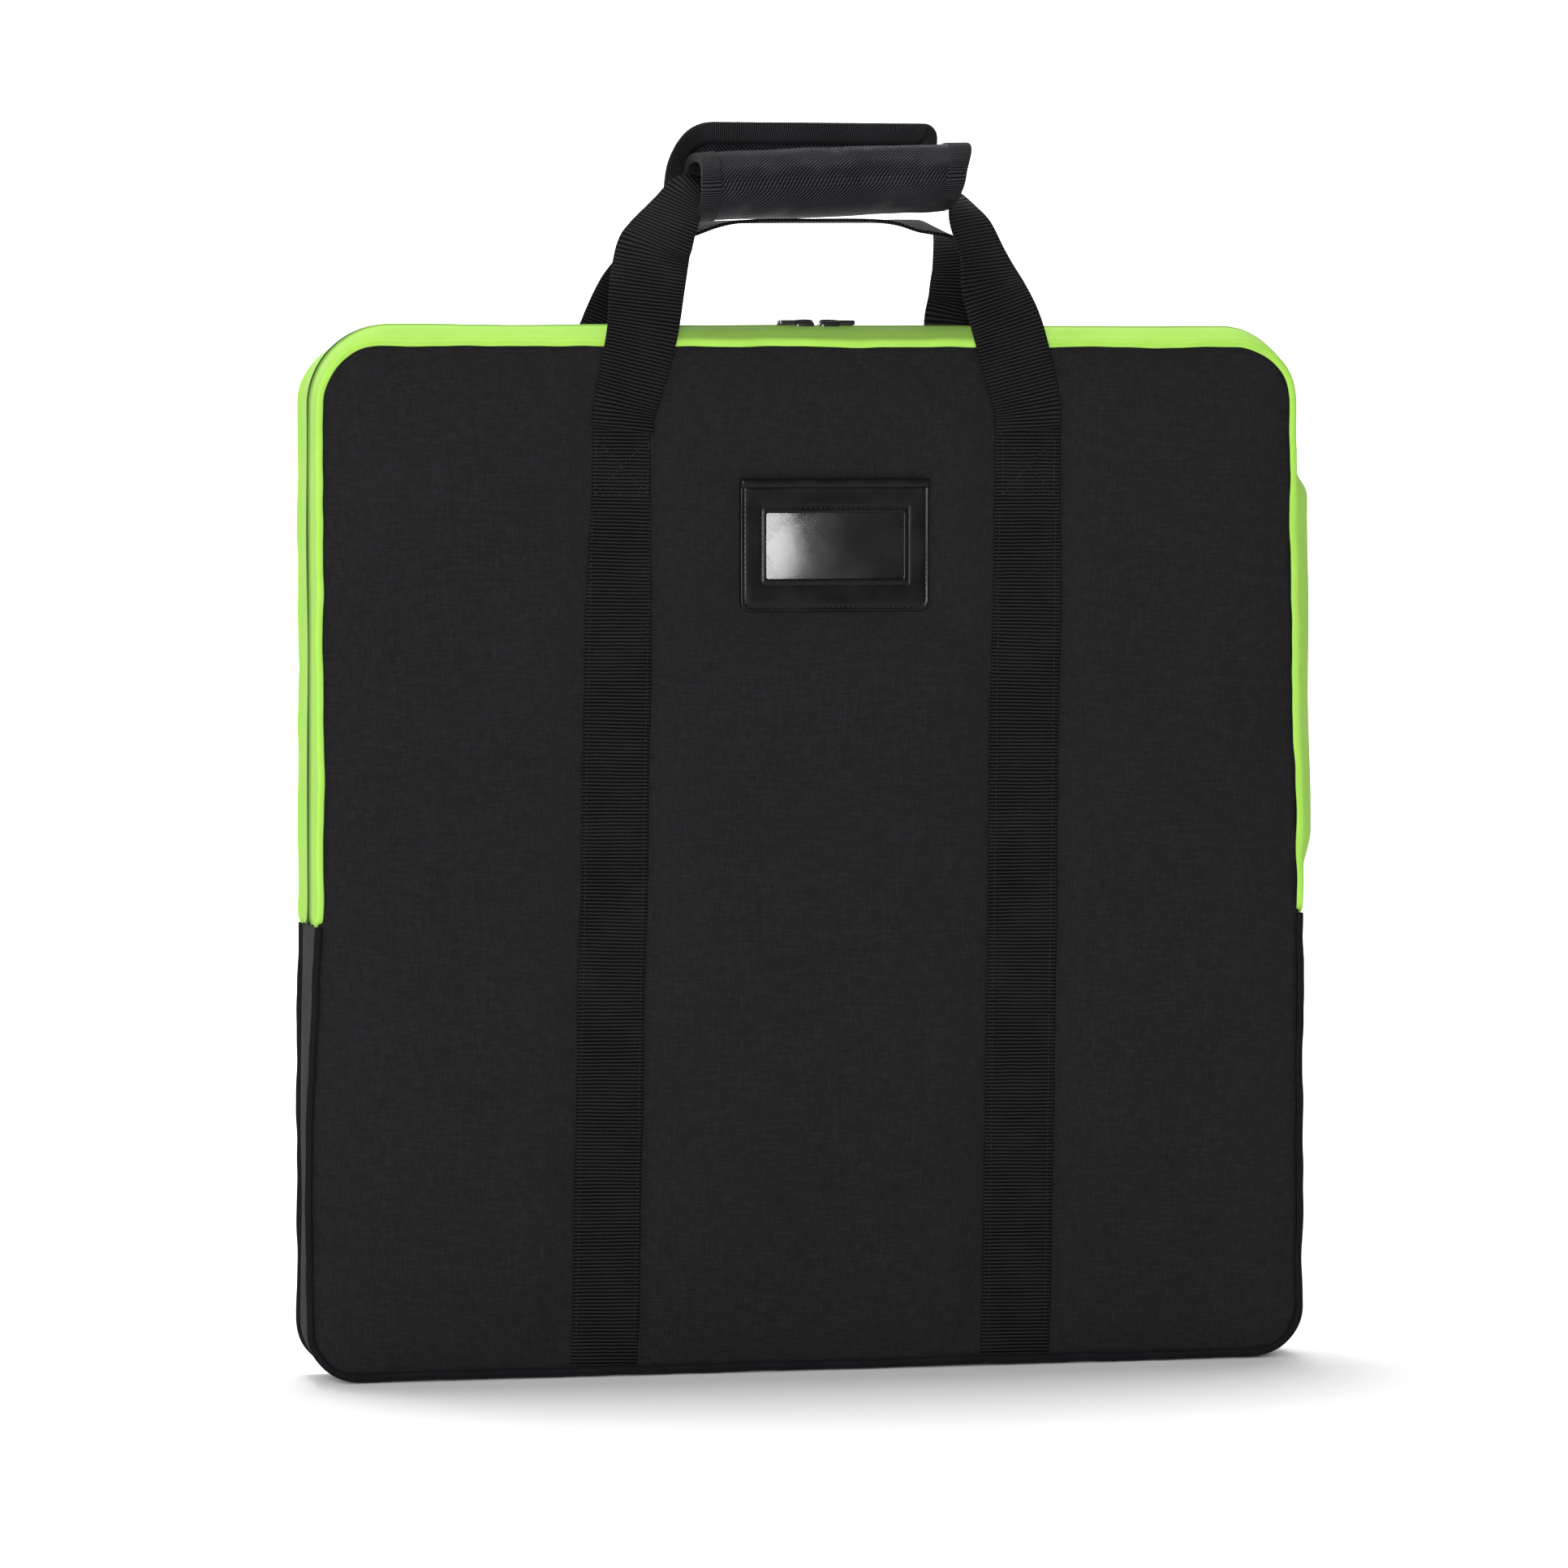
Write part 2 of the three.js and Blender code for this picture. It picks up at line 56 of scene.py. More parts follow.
# places taken from the frame
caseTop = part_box("zip_tape_front")[1].z
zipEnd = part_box("zip_tape_front")[0].z
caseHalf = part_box("zip_tape_front")[1].x
halfDepth = -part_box("front_panel_upper")[0].y
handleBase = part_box("front_handle_webbing")[0].z
strapX = (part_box("rear_strap_right")[0].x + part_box("rear_strap_right")[1].x) / 2
idLow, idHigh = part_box("id_frame")
rollLow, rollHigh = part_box("handle_wrap_roll")
flapLow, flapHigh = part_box("wrap_flap_binding")


# shared helpers

def smoothstep(low, high, value):
    t = np.clip((value - low) / (high - low), 0, 1)
    return t * t * (3 - 2 * t)


# a soft random field: many waves in random directions, mostly between -1 and 1
def ripple(x, z, seed, size, count=20):
    rng = np.random.default_rng(seed)
    angle = rng.uniform(0, 2 * np.pi, count)
    length = size * rng.uniform(0.6, 1.9, count)
    phase = rng.uniform(0, 2 * np.pi, count)
    total = 0
    for a, w, p in zip(angle, length, phase):
        total = total + np.sin((x * np.cos(a) + z * np.sin(a)) * 2 * np.pi / w + p)
    return total / math.sqrt(count)


def unit(vectors):
    return vectors / np.maximum(np.linalg.norm(vectors, axis=-1, keepdims=True), 1e-9)


# running length along a path of points
def runLength(path):
    return np.concatenate([[0], np.cumsum(np.linalg.norm(np.diff(path, axis=0), axis=1))])


# one smooth mesh object from points and faces
def newPiece(name, points, faces, material):
    mesh = bpy.data.meshes.new(name)
    mesh.from_pydata(points.reshape(-1, 3).tolist(), [], faces)
    mesh.polygons.foreach_set("use_smooth", [True] * len(faces))
    mesh.materials.append(material)
    mesh.update()
    piece = bpy.data.objects.new(name, mesh)
    bpy.context.scene.collection.objects.link(piece)
    return piece


# faces over a grid of points; uv is in metres, and a ring's uv has one more column
def surface(name, points, material, uv=None, ring=False, caps=False, flip=False):
    rows, cols = points.shape[:2]
    wide = cols if ring else cols - 1
    row, col = np.meshgrid(np.arange(rows - 1), np.arange(wide), indexing="ij")
    after = (col + 1) % cols
    quads = np.stack([row * cols + col, row * cols + after, (row + 1) * cols + after,
                      (row + 1) * cols + col], -1).reshape(-1, 4)
    faces = quads[:, ::-1].tolist() if flip else quads.tolist()
    if caps:
        faces += [list(range(cols)), list(range((rows - 1) * cols, rows * cols))]
    piece = newPiece(name, points, faces, material)
    if uv is not None:
        corners = np.stack([uv[row, col], uv[row, col + 1], uv[row + 1, col + 1],
                            uv[row + 1, col]], 2)
        corners = corners[:, :, ::-1] if flip else corners
        spare = np.zeros((2 * cols if caps else 0, 2))
        flat = np.concatenate([corners.reshape(-1, 2), spare])
        layer = piece.data.uv_layers.new(name="cloth")
        layer.data.foreach_set("uv", flat.ravel().astype(np.float32))
    if caps:
        faceOut(piece)
    return piece


# a sheet whose depth y is given over x and z, with its pattern laid on x and z
def sheetOver(name, x, y, z, material, flip=False):
    return surface(name, np.stack([x, y, z], -1), material, np.stack([x, z], -1), flip=flip)


# x and z over an upright rectangle
def uprightGrid(left, right, low, high, cols, rows):
    return np.meshgrid(np.linspace(left, right, cols), np.linspace(low, high, rows), indexing="ij")


# x and z round a rectangle with round corners. The radii go from the low left corner by way
# of the low right one; every loop has the same number of points, so loops can be lofted.
def roundedLoop(left, right, low, high, radii, corner=10, side=60):
    a, b, c, d = radii
    centres = [(left + a, low + a), (right - b, low + b), (right - c, high - c),
               (left + d, high - d)]
    arcs = []
    for (x, z), start, radius in zip(centres, (180, 270, 0, 90), radii):
        angle = np.radians(start + np.linspace(0, 90, corner))
        arcs.append(np.stack([x + radius * np.cos(angle), z + radius * np.sin(angle)], 1))
    run = np.linspace(0, 1, side + 2)[1:-1, None]
    closed = []
    for arc, following in zip(arcs, arcs[1:] + arcs[:1]):
        closed += [arc, arc[-1] + (following[0] - arc[-1]) * run]
    return np.concatenate(closed)


def faceOut(piece):
    work = bmesh.new()
    work.from_mesh(piece.data)
    bmesh.ops.recalc_face_normals(work, faces=work.faces)
    work.to_mesh(piece.data)
    work.free()


# gives an open sheet its wall, on the side away from its normals unless inward is False
def thicken(piece, thickness, inward=True):
    wall = piece.modifiers.new("wall", "SOLIDIFY")
    wall.thickness = thickness
    wall.offset = -1 if inward else 1
    return piece


# says what a piece rides on, or bakes it in place where body is None, and hides the parts it stands
# for
def place(piece, body, slotName, *nodes):
    if body:
        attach(piece, body)
    else:
        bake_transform(piece)
    if nodes:
        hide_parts(*nodes)


# Catmull-Rom curve through the stations, walked in even steps
def through(stations, step):
    s = np.asarray(stations, float)
    s = np.vstack([2 * s[0] - s[1], s, 2 * s[-1] - s[-2]])
    t = np.linspace(0, len(s) - 3, 60 * len(s))
    i = np.minimum(t.astype(int), len(s) - 4)
    f = (t - i)[:, None]
    a, b, c, d = s[i], s[i + 1], s[i + 2], s[i + 3]
    fine = 0.5 * (2 * b + (c - a) * f + (2 * a - 5 * b + 4 * c - d) * f ** 2
                  + (3 * b - a - 3 * c + d) * f ** 3)
    gone = runLength(fine[:, :3])
    even = np.linspace(0, gone[-1], int(gone[-1] / step) + 1)
    return np.stack([np.interp(even, gone, fine[:, k]) for k in range(s.shape[1])], 1)


# materials

def toLinear(code):
    parts = [int(code[i:i + 2], 16) / 255 for i in (1, 3, 5)]
    return tuple(c / 12.92 if c < 0.04045 else ((c + 0.055) / 1.055) ** 2.4 for c in parts) + (1,)


# one node, its settings (attributes, or socket values by name or number) and its links
def addNode(tree, kind, settings=None, links=None):
    node = tree.nodes.new("ShaderNode" + kind)
    for key, value in (settings or {}).items():
        if isinstance(key, str) and hasattr(node, key):
            setattr(node, key, value)
        else:
            node.inputs[key].default_value = value
    for key, source in (links or {}).items():
        tree.links.new(source, node.inputs[key])
    return node.outputs[0]


def newMaterial(name, **shader):
    material = bpy.data.materials.new(name)
    material.use_nodes = True
    tree = material.node_tree
    tree.nodes.clear()
    principled = tree.nodes.new("ShaderNodeBsdfPrincipled")
    for key, value in shader.items():
        principled.inputs[key.replace("_", " ")].default_value = value
    output = tree.nodes.new("ShaderNodeOutputMaterial")
    tree.links.new(principled.outputs[0], output.inputs[0])
    coords = tree.nodes.new("ShaderNodeTexCoord")
    return material, tree, principled, coords


# one pattern gives a surface its two colours and its roughness, and height gives its bump
def finishSurface(tree, principled, dark, light, pattern, rough, height, strength, depth):
    tone = addNode(tree, "Mix", {"data_type": "RGBA", 6: toLinear(dark), 7: toLinear(light)},
                   {0: pattern})
    roughness = addNode(tree, "MapRange", rough, {"Value": pattern})
    bump = addNode(tree, "Bump", {"Strength": strength, "Distance": depth}, {"Height": height})
    tree.links.new(tone.node.outputs[2], principled.inputs["Base Color"])
    tree.links.new(roughness, principled.inputs["Roughness"])
    tree.links.new(bump, principled.inputs["Normal"])


# plain-weave polyester: crossed slubs, long and thin both ways, over a fine grain
def plainWeave(name, dark, light, roughness):
    material, tree, principled, coords = newMaterial(
        name, Sheen_Weight=0.01, Sheen_Roughness=0.5, Specular_IOR_Level=0.08)
    place = coords.outputs["Object"]
    along = addNode(tree, "Mapping", {"Scale": (150, 150, 1500)}, {"Vector": place})
    upright = addNode(tree, "Mapping", {"Scale": (1500, 1500, 150)}, {"Vector": place})
    slubs = []
    for vector in (along, upright):
        noise = addNode(tree, "TexNoise", {"Scale": 1, "Detail": 1.5}, {"Vector": vector})
        slubs.append(addNode(tree, "MapRange", {"From Min": 0.42, "From Max": 0.72},
                             {"Value": noise}))
    cross = addNode(tree, "Math", {"operation": "ADD"}, {0: slubs[0], 1: slubs[1]})
    grain = addNode(tree, "TexNoise", {"Scale": 1400, "Detail": 2}, {"Vector": place})
    cloudy = addNode(tree, "TexNoise", {"Scale": 14, "Detail": 2}, {"Vector": place})
    tone = addNode(tree, "Math", {"operation": "MULTIPLY_ADD", 1: 0.42}, {0: cross, 2: grain})
    tone = addNode(tree, "Math", {"operation": "MULTIPLY_ADD", 1: 0.25}, {0: cloudy, 2: tone})
    mix = addNode(tree, "MapRange", {"From Min": 0.35, "From Max": 1.45}, {"Value": tone})
    rough = {"To Min": roughness + 0.06, "To Max": roughness - 0.06}
    finishSurface(tree, principled, dark, light, mix, rough, tone, 0.35, 0.0003)
    return material


# woven cords across a tape: rows of ribs, each broken by the warp threads
def ribbedWeave(name, dark, light, roughness, ribPitch, threadPitch, depth, strength,
                slant=0.0, waver=0.8, sheen=0.0, specular=0.06, low=0.3, high=1.75):
    material, tree, principled, coords = newMaterial(
        name, Sheen_Weight=sheen, Sheen_Roughness=0.4, Specular_IOR_Level=specular)
    uv = coords.outputs["UV"]
    split = tree.nodes.new("ShaderNodeSeparateXYZ")
    tree.links.new(uv, split.inputs[0])
    u, v = split.outputs[0], split.outputs[1]
    lean = addNode(tree, "Math", {"operation": "MULTIPLY_ADD", 1: slant}, {0: u, 2: v})
    drift = addNode(tree, "TexNoise", {"Scale": 60, "Detail": 2}, {"Vector": uv})
    lean = addNode(tree, "Math", {"operation": "MULTIPLY_ADD", 1: ribPitch * waver},
                   {0: drift, 2: lean})
    waves = []
    for source, pitch in ((lean, ribPitch), (u, threadPitch)):
        turn = addNode(tree, "Math", {"operation": "MULTIPLY", 1: 2 * math.pi / pitch}, {0: source})
        wave = addNode(tree, "Math", {"operation": "SINE"}, {0: turn})
        waves.append(addNode(tree, "MapRange", {"From Min": -1}, {"Value": wave}))
    height = addNode(tree, "Math", {"operation": "MULTIPLY_ADD", 1: 0.3},
                     {0: waves[1], 2: waves[0]})
    fuzz = addNode(tree, "TexNoise", {"Scale": 1800, "Detail": 2}, {"Vector": uv})
    height = addNode(tree, "Math", {"operation": "MULTIPLY_ADD", 1: 0.4}, {0: fuzz, 2: height})
    patch = addNode(tree, "TexNoise", {"Scale": 35, "Detail": 3}, {"Vector": uv})
    tone = addNode(tree, "Math", {"operation": "MULTIPLY_ADD", 1: 0.7}, {0: patch, 2: height})
    mix = addNode(tree, "MapRange", {"From Min": low, "From Max": high}, {"Value": tone})
    rough = {"To Min": roughness + 0.1, "To Max": roughness - 0.05}
    finishSurface(tree, principled, dark, light, mix, rough, height, strength, depth)
    return material


# a moulded or coated skin: fine pebbled grain, and wear that dulls it in patches
def coated(name, dark, light, roughness, grain, strength, **shader):
    material, tree, principled, coords = newMaterial(name, **shader)
    place = coords.outputs["Object"]
    pebble = addNode(tree, "TexVoronoi", {"Scale": grain}, {"Vector": place})
    wear = addNode(tree, "TexNoise", {"Scale": 60, "Detail": 4}, {"Vector": place})
    rough = {"From Min": 0.3, "From Max": 0.7, "To Min": roughness * 0.75,
             "To Max": roughness * 1.25}
    finishSurface(tree, principled, dark, light, wear, rough, pebble, strength, 0.0001)
    return material


# the body cloth reads as flat charcoal with faint crossed threads
shellCloth = plainWeave("charcoal polyester plain weave", "#111112", "#202022", 0.85)
# the gusset is the same colour in a smoother diagonal weave that catches the light
gussetCloth = ribbedWeave("charcoal polyester gusset twill", "#060607", "#16161a", 0.7,
                          0.9 * mm, 0.7 * mm, 0.2 * mm, 0.3, slant=0.8, sheen=0.01)
# vivid yellow-green tape; a painted highlight makes it a little paler on the fold by the seam
zipTape = ribbedWeave("lime woven polyester zip tape", "#80b63b", "#a4d25c", 0.7,
                      0.6 * mm, 0.8 * mm, 0.1 * mm, 0.25, sheen=0.05)
# across the tape: painted shade where it turns down into the slit, and a painted highlight on the
# fold by the seam
tree = zipTape.node_tree
tapeShader = next(node for node in tree.nodes if node.type == "BSDF_PRINCIPLED")
tapeTone = tapeShader.inputs["Base Color"].links[0].from_socket
tapeCoords = next(node for node in tree.nodes if node.type == "TEX_COORD").outputs["UV"]
acrossTape = addNode(tree, "SeparateXYZ", {}, {0: tapeCoords})
# painted shade mask: full within 1.4 mm of the slit, gone by 3.2 mm
slitShadeMask = addNode(tree, "MapRange", {"From Min": 3.2 * mm, "From Max": 1.4 * mm},
                 {"Value": acrossTape})
# painted highlight mask: up to 0.75 on the fold 21.6 mm across the tape, gone 1.8 mm either side
toFold = addNode(tree, "Math", {"operation": "SUBTRACT", 1: 21.6 * mm}, {0: acrossTape})
toFold = addNode(tree, "Math", {"operation": "ABSOLUTE"}, {0: toFold})
foldHighlightMask = addNode(tree, "MapRange", {"From Min": 1.8 * mm, "From Max": 0.4 * mm, "To Max": 0.75},
                 {"Value": toFold})
# painted shade: dark green mixed in over the slit
slitShadeMix = addNode(tree, "Mix", {"data_type": "RGBA", 7: toLinear("#2c4a12")},
                 {0: slitShadeMask, 6: tapeTone}).node
# painted highlight: pale green mixed in over the fold
foldHighlightMix = addNode(tree, "Mix", {"data_type": "RGBA", 7: toLinear("#e6f8c8")},
                {0: foldHighlightMask, 6: slitShadeMix.outputs[2]}).node
tree.links.new(foldHighlightMix.outputs[2], tapeShader.inputs["Base Color"])
zipCoil = coated("lime extruded nylon coil", "#4f8a12", "#6aa81f", 0.4, 900, 0.1)
# dull black webbing, drawn in strong cross ribs
webbing = ribbedWeave("ribbed polypropylene webbing", "#010101", "#222223", 0.6,
                      1.8 * mm, 1.1 * mm, 0.5 * mm, 0.9, waver=0.4, specular=0.05,
                      low=0.8, high=1.55)
# the wrap's satin twill shows slanted lines and a bluish sheen
wrapTwill = ribbedWeave("satin polyester twill", "#010102", "#34343b", 0.5, 2.0 * mm, 1.2 * mm,
                        0.7 * mm, 1.0, slant=1.0, waver=0.25, specular=0.1, low=0.9, high=1.6)
grosgrain = ribbedWeave("grosgrain binding tape", "#040405", "#2c2c2f", 0.6,
                        1.1 * mm, 1.4 * mm, 0.3 * mm, 0.9, waver=0.4, low=0.8, high=1.5)
lining = ribbedWeave("lining taffeta", "#1f2022", "#3a3b3f", 0.5,
                     0.5 * mm, 0.5 * mm, 0.08 * mm, 0.3, sheen=0.15)
foamSheet = coated("closed-cell foam sheet", "#2c2c2e", "#3f3f42", 0.95, 900, 0.6)
hookCloth = coated("nylon hook tape", "#0b0b0c", "#1d1d1f", 0.8, 700, 1.0)
thread = ribbedWeave("bonded polyester thread", "#0e0e0f", "#28282a", 0.5,
                     0.5 * mm, 0.5 * mm, 0.1 * mm, 0.6)
# thin coated leatherette: near black, glossy, with a faint pebble
leatherette = coated("polyurethane leatherette", "#020202", "#060607", 0.3, 1500, 0.12,
                     Specular_IOR_Level=0.2)
clearSheet = coated("clear calendered vinyl sheet", "#707476", "#7a7f82", 0.09, 200, 0.02,
                    Transmission_Weight=1.0, IOR=1.46)
enamel = coated("black enamel on die-cast zinc", "#030303", "#0a0a0b", 0.25, 700, 0.05,
                Coat_Weight=0.3, Coat_Roughness=0.1)
print("materials ready")


# the case outline

# Two outlines of the case in X and Z: the panel seams, and the crown half way through its
# depth. Seam sides stand in from the crown, as the soft gusset rounds over.
outline = {
    "seamLeft": -caseHalf + 1.3 * mm, "seamRight": caseHalf - 3.6 * mm,
    "seamTop": caseTop - 7.3 * mm, "seamBottom": 3.2 * mm,
    "crownLeft": -caseHalf + 2.2 * mm, "crownRight": caseHalf + 0.5 * mm,
    "crownTop": caseTop + 0.2 * mm, "crownBottom": 0.4 * mm,
    "seamTopRadius": (32 * mm, 30 * mm), "crownTopRadius": (39 * mm, 36 * mm),
    "seamBottomRadius": (25 * mm, 24 * mm), "crownBottomRadius": (27 * mm, 26 * mm),
    "spreadLeft": 6 * mm, "spreadRight": 4.6 * mm, "sideBulge": 9.2 * mm, "rearShift": -0.7 * mm,
}


# lower down, the soft front spreads a little; share is 1 on the front seam, 0 on the crown
# and below 0 on the rear seam
def sway(x, z, share):
    left = -outline["spreadLeft"] * smoothstep(0.255, 0.12, z) * (0.35 + 0.65 * share)
    left = left - outline["rearShift"] * (share < 0)
    right = outline["spreadRight"] * smoothstep(0.465, 0.2, z) * (0.5 + 0.5 * share)
    bulge = outline["sideBulge"] * smoothstep(0.236, 0.27, z) * smoothstep(0.458, 0.44, z)
    wide = smoothstep(0.15, 0.24, np.abs(x))
    return x + wide * np.where(x < 0, left, right + bulge * (share == 0))


# x and z of a path up one side, round a corner, across, round the other and down
def archPath(left, right, ends, turn, radii, counts=(110, 26, 230)):
    sign = 1 if turn > ends else -1
    up = np.linspace(0, 1, counts[0], endpoint=False)
    down = np.linspace(0, 1, counts[0])
    arc = np.linspace(0, np.pi / 2, counts[1], endpoint=False)
    over = np.linspace(0, 1, counts[2], endpoint=False)
    a, b = radii
    x = np.concatenate([left + 0 * up, left + a * (1 - np.cos(arc)),
                        left + a + (right - left - a - b) * over,
                        right - b + b * np.sin(arc), right + 0 * down])
    lowA, lowB = turn - sign * a, turn - sign * b
    z = np.concatenate([ends + (lowA - ends) * up, lowA + sign * a * np.sin(arc), turn + 0 * over,
                        lowB + sign * b * np.cos(arc), lowB + (ends - lowB) * down])
    return np.stack([x, z], 1)


# A band round the case edge. Across it, a point at depth y sits between the crown and the
# seam outlines by (|y| / half depth) ** 2.2, then stands out along the outline's normal by
# lift, which is a curve through the profile's (depth, lift) stations.
def band(name, profile, top, material, endGap=0.0, pucker=0.0, rounding=0.0, wall=1.0, steps=44):
    if top:
        seam = archPath(outline["seamLeft"], outline["seamRight"], zipEnd + endGap,
                        outline["seamTop"], outline["seamTopRadius"])
        crown = archPath(outline["crownLeft"], outline["crownRight"], zipEnd + endGap,
                         outline["crownTop"], outline["crownTopRadius"])
    else:
        seam = archPath(outline["seamLeft"], outline["seamRight"], zipEnd - endGap,
                        outline["seamBottom"], outline["seamBottomRadius"])
        crown = archPath(outline["crownLeft"], outline["crownRight"], zipEnd - endGap,
                         outline["crownBottom"], outline["crownBottomRadius"])
    rear = seam.copy()
    seam[:, 0] = sway(seam[:, 0], seam[:, 1], 1)
    rear[:, 0] = sway(rear[:, 0], rear[:, 1], -0.2)
    crown[:, 0] = sway(crown[:, 0], crown[:, 1], 0)
    gone = runLength(crown)
    tangent = unit(np.gradient(crown, axis=0))
    normal = np.stack([-tangent[:, 1], tangent[:, 0]], 1) * (1 if top else -1)
    stations = through([(y * mm, h * mm, 0) for y, h in profile], 0.25 * mm)
    pick = np.linspace(0, len(stations) - 1, steps)
    depth = np.interp(pick, np.arange(len(stations)), stations[:, 0])
    lift = np.interp(pick, np.arange(len(stations)), stations[:, 1])
    toEnd = np.minimum(gone, gone[-1] - gone)[:, None]
    if rounding:
        corner = np.sqrt(1 - (1 - np.clip(toEnd / rounding, 0, 1)) ** 2)
        keep = 0.55 + 0.45 * corner
        middle = (depth[0] + depth[-1]) / 2
        depth = middle + (depth[None, :] - middle) * keep
    else:
        depth = np.repeat(depth[None, :], len(gone), 0)
    share = np.clip(np.abs(depth) / halfDepth, 0, 1.03) ** 2.2
    g, d = np.meshgrid(gone, depth[0], indexing="ij")
    nearSeam = smoothstep(0.4, 1, share)
    lift = lift[None, :] + pucker * (0.35 * ripple(g, d * 3, 5, 0.03) * nearSeam
                                     + 0.25 * ripple(g, d, 6, 0.07))
    depth = depth + np.sign(depth) * pucker * 0.5 * ripple(g, 0 * d, 8, 0.022) * nearSeam
    side = np.where(depth[:, :, None] < 0, seam[:, None], rear[:, None])
    flat = (crown[:, None] + (side - crown[:, None]) * share[:, :, None]
            + normal[:, None] * lift[:, :, None])
    if not top:
        flat[:, :, 1] = np.maximum(flat[:, :, 1], 0.3 * mm)
    points = np.stack([flat[:, :, 0], depth, flat[:, :, 1]], -1)
    acrossBand = np.repeat(np.linspace(0, 1, steps)[None], len(gone), 0)
    acrossBand = acrossBand * abs(depth[0, -1] - depth[0, 0])
    uv = np.stack([acrossBand, np.repeat(gone[:, None], steps, 1)], -1)
    outward = (profile[-1][0] > profile[0][0]) == top
    piece = surface(name, points, material, uv, flip=not outward)
    thicken(piece, wall * mm)
    return piece, crown, normal, gone


# each tape: rolled edge at the slit, a shallow dip, and a folded lip along the panel seam
tape = {"profile": [(0.75, -2.0), (0.55, -0.9), (0.75, 0.2), (1.6, 0.8), (3.0, 0.75), (4.4, 0.2),
                    (6, 0.0), (12, 0.0), (18, 0.0), (21, 0.15), (22.6, 0.7), (24.0, 1.0),
                    (25.0, 0.7), (25.3, -0.3), (24.8, -1.6)],
        "rearPucker": 0.7 * mm, "frontPucker": 0.8 * mm, "rounding": 9 * mm, "wall": 0.9}
rearTape, crownPath, crownNormal, crownGone = band(
    "zipTapeRear", tape["profile"], True, zipTape, pucker=tape["rearPucker"],
    rounding=tape["rounding"], wall=tape["wall"])
frontTape = band("zipTapeFront", [(-y, h) for y, h in tape["profile"]], True, zipTape,
                 pucker=tape["frontPucker"], rounding=tape["rounding"], wall=tape["wall"])[0]
place(rearTape, "root", "zip", "zip_tape_rear")
place(frontTape, "front_flap", "zip", "zip_tape_front")

# the lower gusset: one band of cloth with a lip along each seam, and its lining inside
gusset = {"side": [(0, 0.3), (8, 0.2), (16, -0.2), (20, -0.9), (22, -0.7), (23.2, 0.5),
                   (24.4, 0.9), (25.2, 0.4), (25.3, -0.6), (24.8, -1.6)],
          "liningSide": [(0, -3.4), (8, -3.4), (14, -3.3), (17.6, -3.0)],
          "endGap": 0.4 * mm, "pucker": 0.8 * mm, "liningPucker": 0.3 * mm,
          "wall": 1.0, "liningWall": 0.5}


# a profile given for one half of the depth, and the same mirrored for the other half
def bothSides(half):
    return [(-y, h) for y, h in half[::-1]] + half[1:]


lowerGusset = band("lowerGusset", bothSides(gusset["side"]), False, gussetCloth,
                   endGap=gusset["endGap"], pucker=gusset["pucker"],
                   wall=gusset["wall"], steps=70)[0]
place(lowerGusset, "root", "shell", "base_gusset", "side_gusset_left", "side_gusset_right")
gussetLining = band("gussetLining", bothSides(gusset["liningSide"]), False, lining,
                    endGap=gusset["endGap"], pucker=gusset["liningPucker"],
                    wall=gusset["liningWall"], steps=30)[0]
place(gussetLining, "root", "lining", "base_lining", "side_lining_left", "side_lining_right")

# Coils: a helix inside the band. A loop turns once each pitch, flattened across the depth,
# and its centre follows the crown outline, drawn in by inset.
coil = {"pitch": 1.6 * mm, "inset": 3.6 * mm, "wide": 0.95 * mm, "high": 0.85 * mm,
        "wire": 0.3 * mm, "fromMiddle": 1.75 * mm, "endGap": 3 * mm, "steps": 9, "sides": 4}


def coilPiece(name, side, body, node):
    turns = int((crownGone[-1] - 2 * coil["endGap"]) / coil["pitch"])
    t = np.linspace(0, turns, turns * coil["steps"] + 1)
    s = coil["endGap"] + t * coil["pitch"]
    angle = 2 * np.pi * t * side
    x = np.interp(s, crownGone, crownPath[:, 0])
    z = np.interp(s, crownGone, crownPath[:, 1])
    out = np.stack([np.interp(s, crownGone, crownNormal[:, k]) for k in (0, 1)], 1)
    rise = -coil["inset"] + coil["high"] * np.sin(angle)
    line = np.stack([x + out[:, 0] * rise, side * coil["fromMiddle"] + coil["wide"] * np.cos(angle),
                     z + out[:, 1] * rise], 1)
    tangent = unit(np.gradient(line, axis=0))
    outward = np.stack([out[:, 0], 0 * x, out[:, 1]], 1)
    across = unit(np.cross(tangent, outward))
    face = np.cross(across, tangent)
    around = np.arange(coil["sides"]) * 2 * np.pi / coil["sides"]
    points = (line[:, None] + coil["wire"] * (across[:, None] * np.cos(around)[None, :, None]
                                              + face[:, None] * np.sin(around)[None, :, None]))
    place(surface(name, points, zipCoil, ring=True, caps=True), body, "coil", node)


coilPiece("zipCoilRear", 1, "root", "zip_coil_rear")
coilPiece("zipCoilFront", -1, "front_flap", "zip_coil_front")
print("gusset and zip ready")


# covers, foam and linings

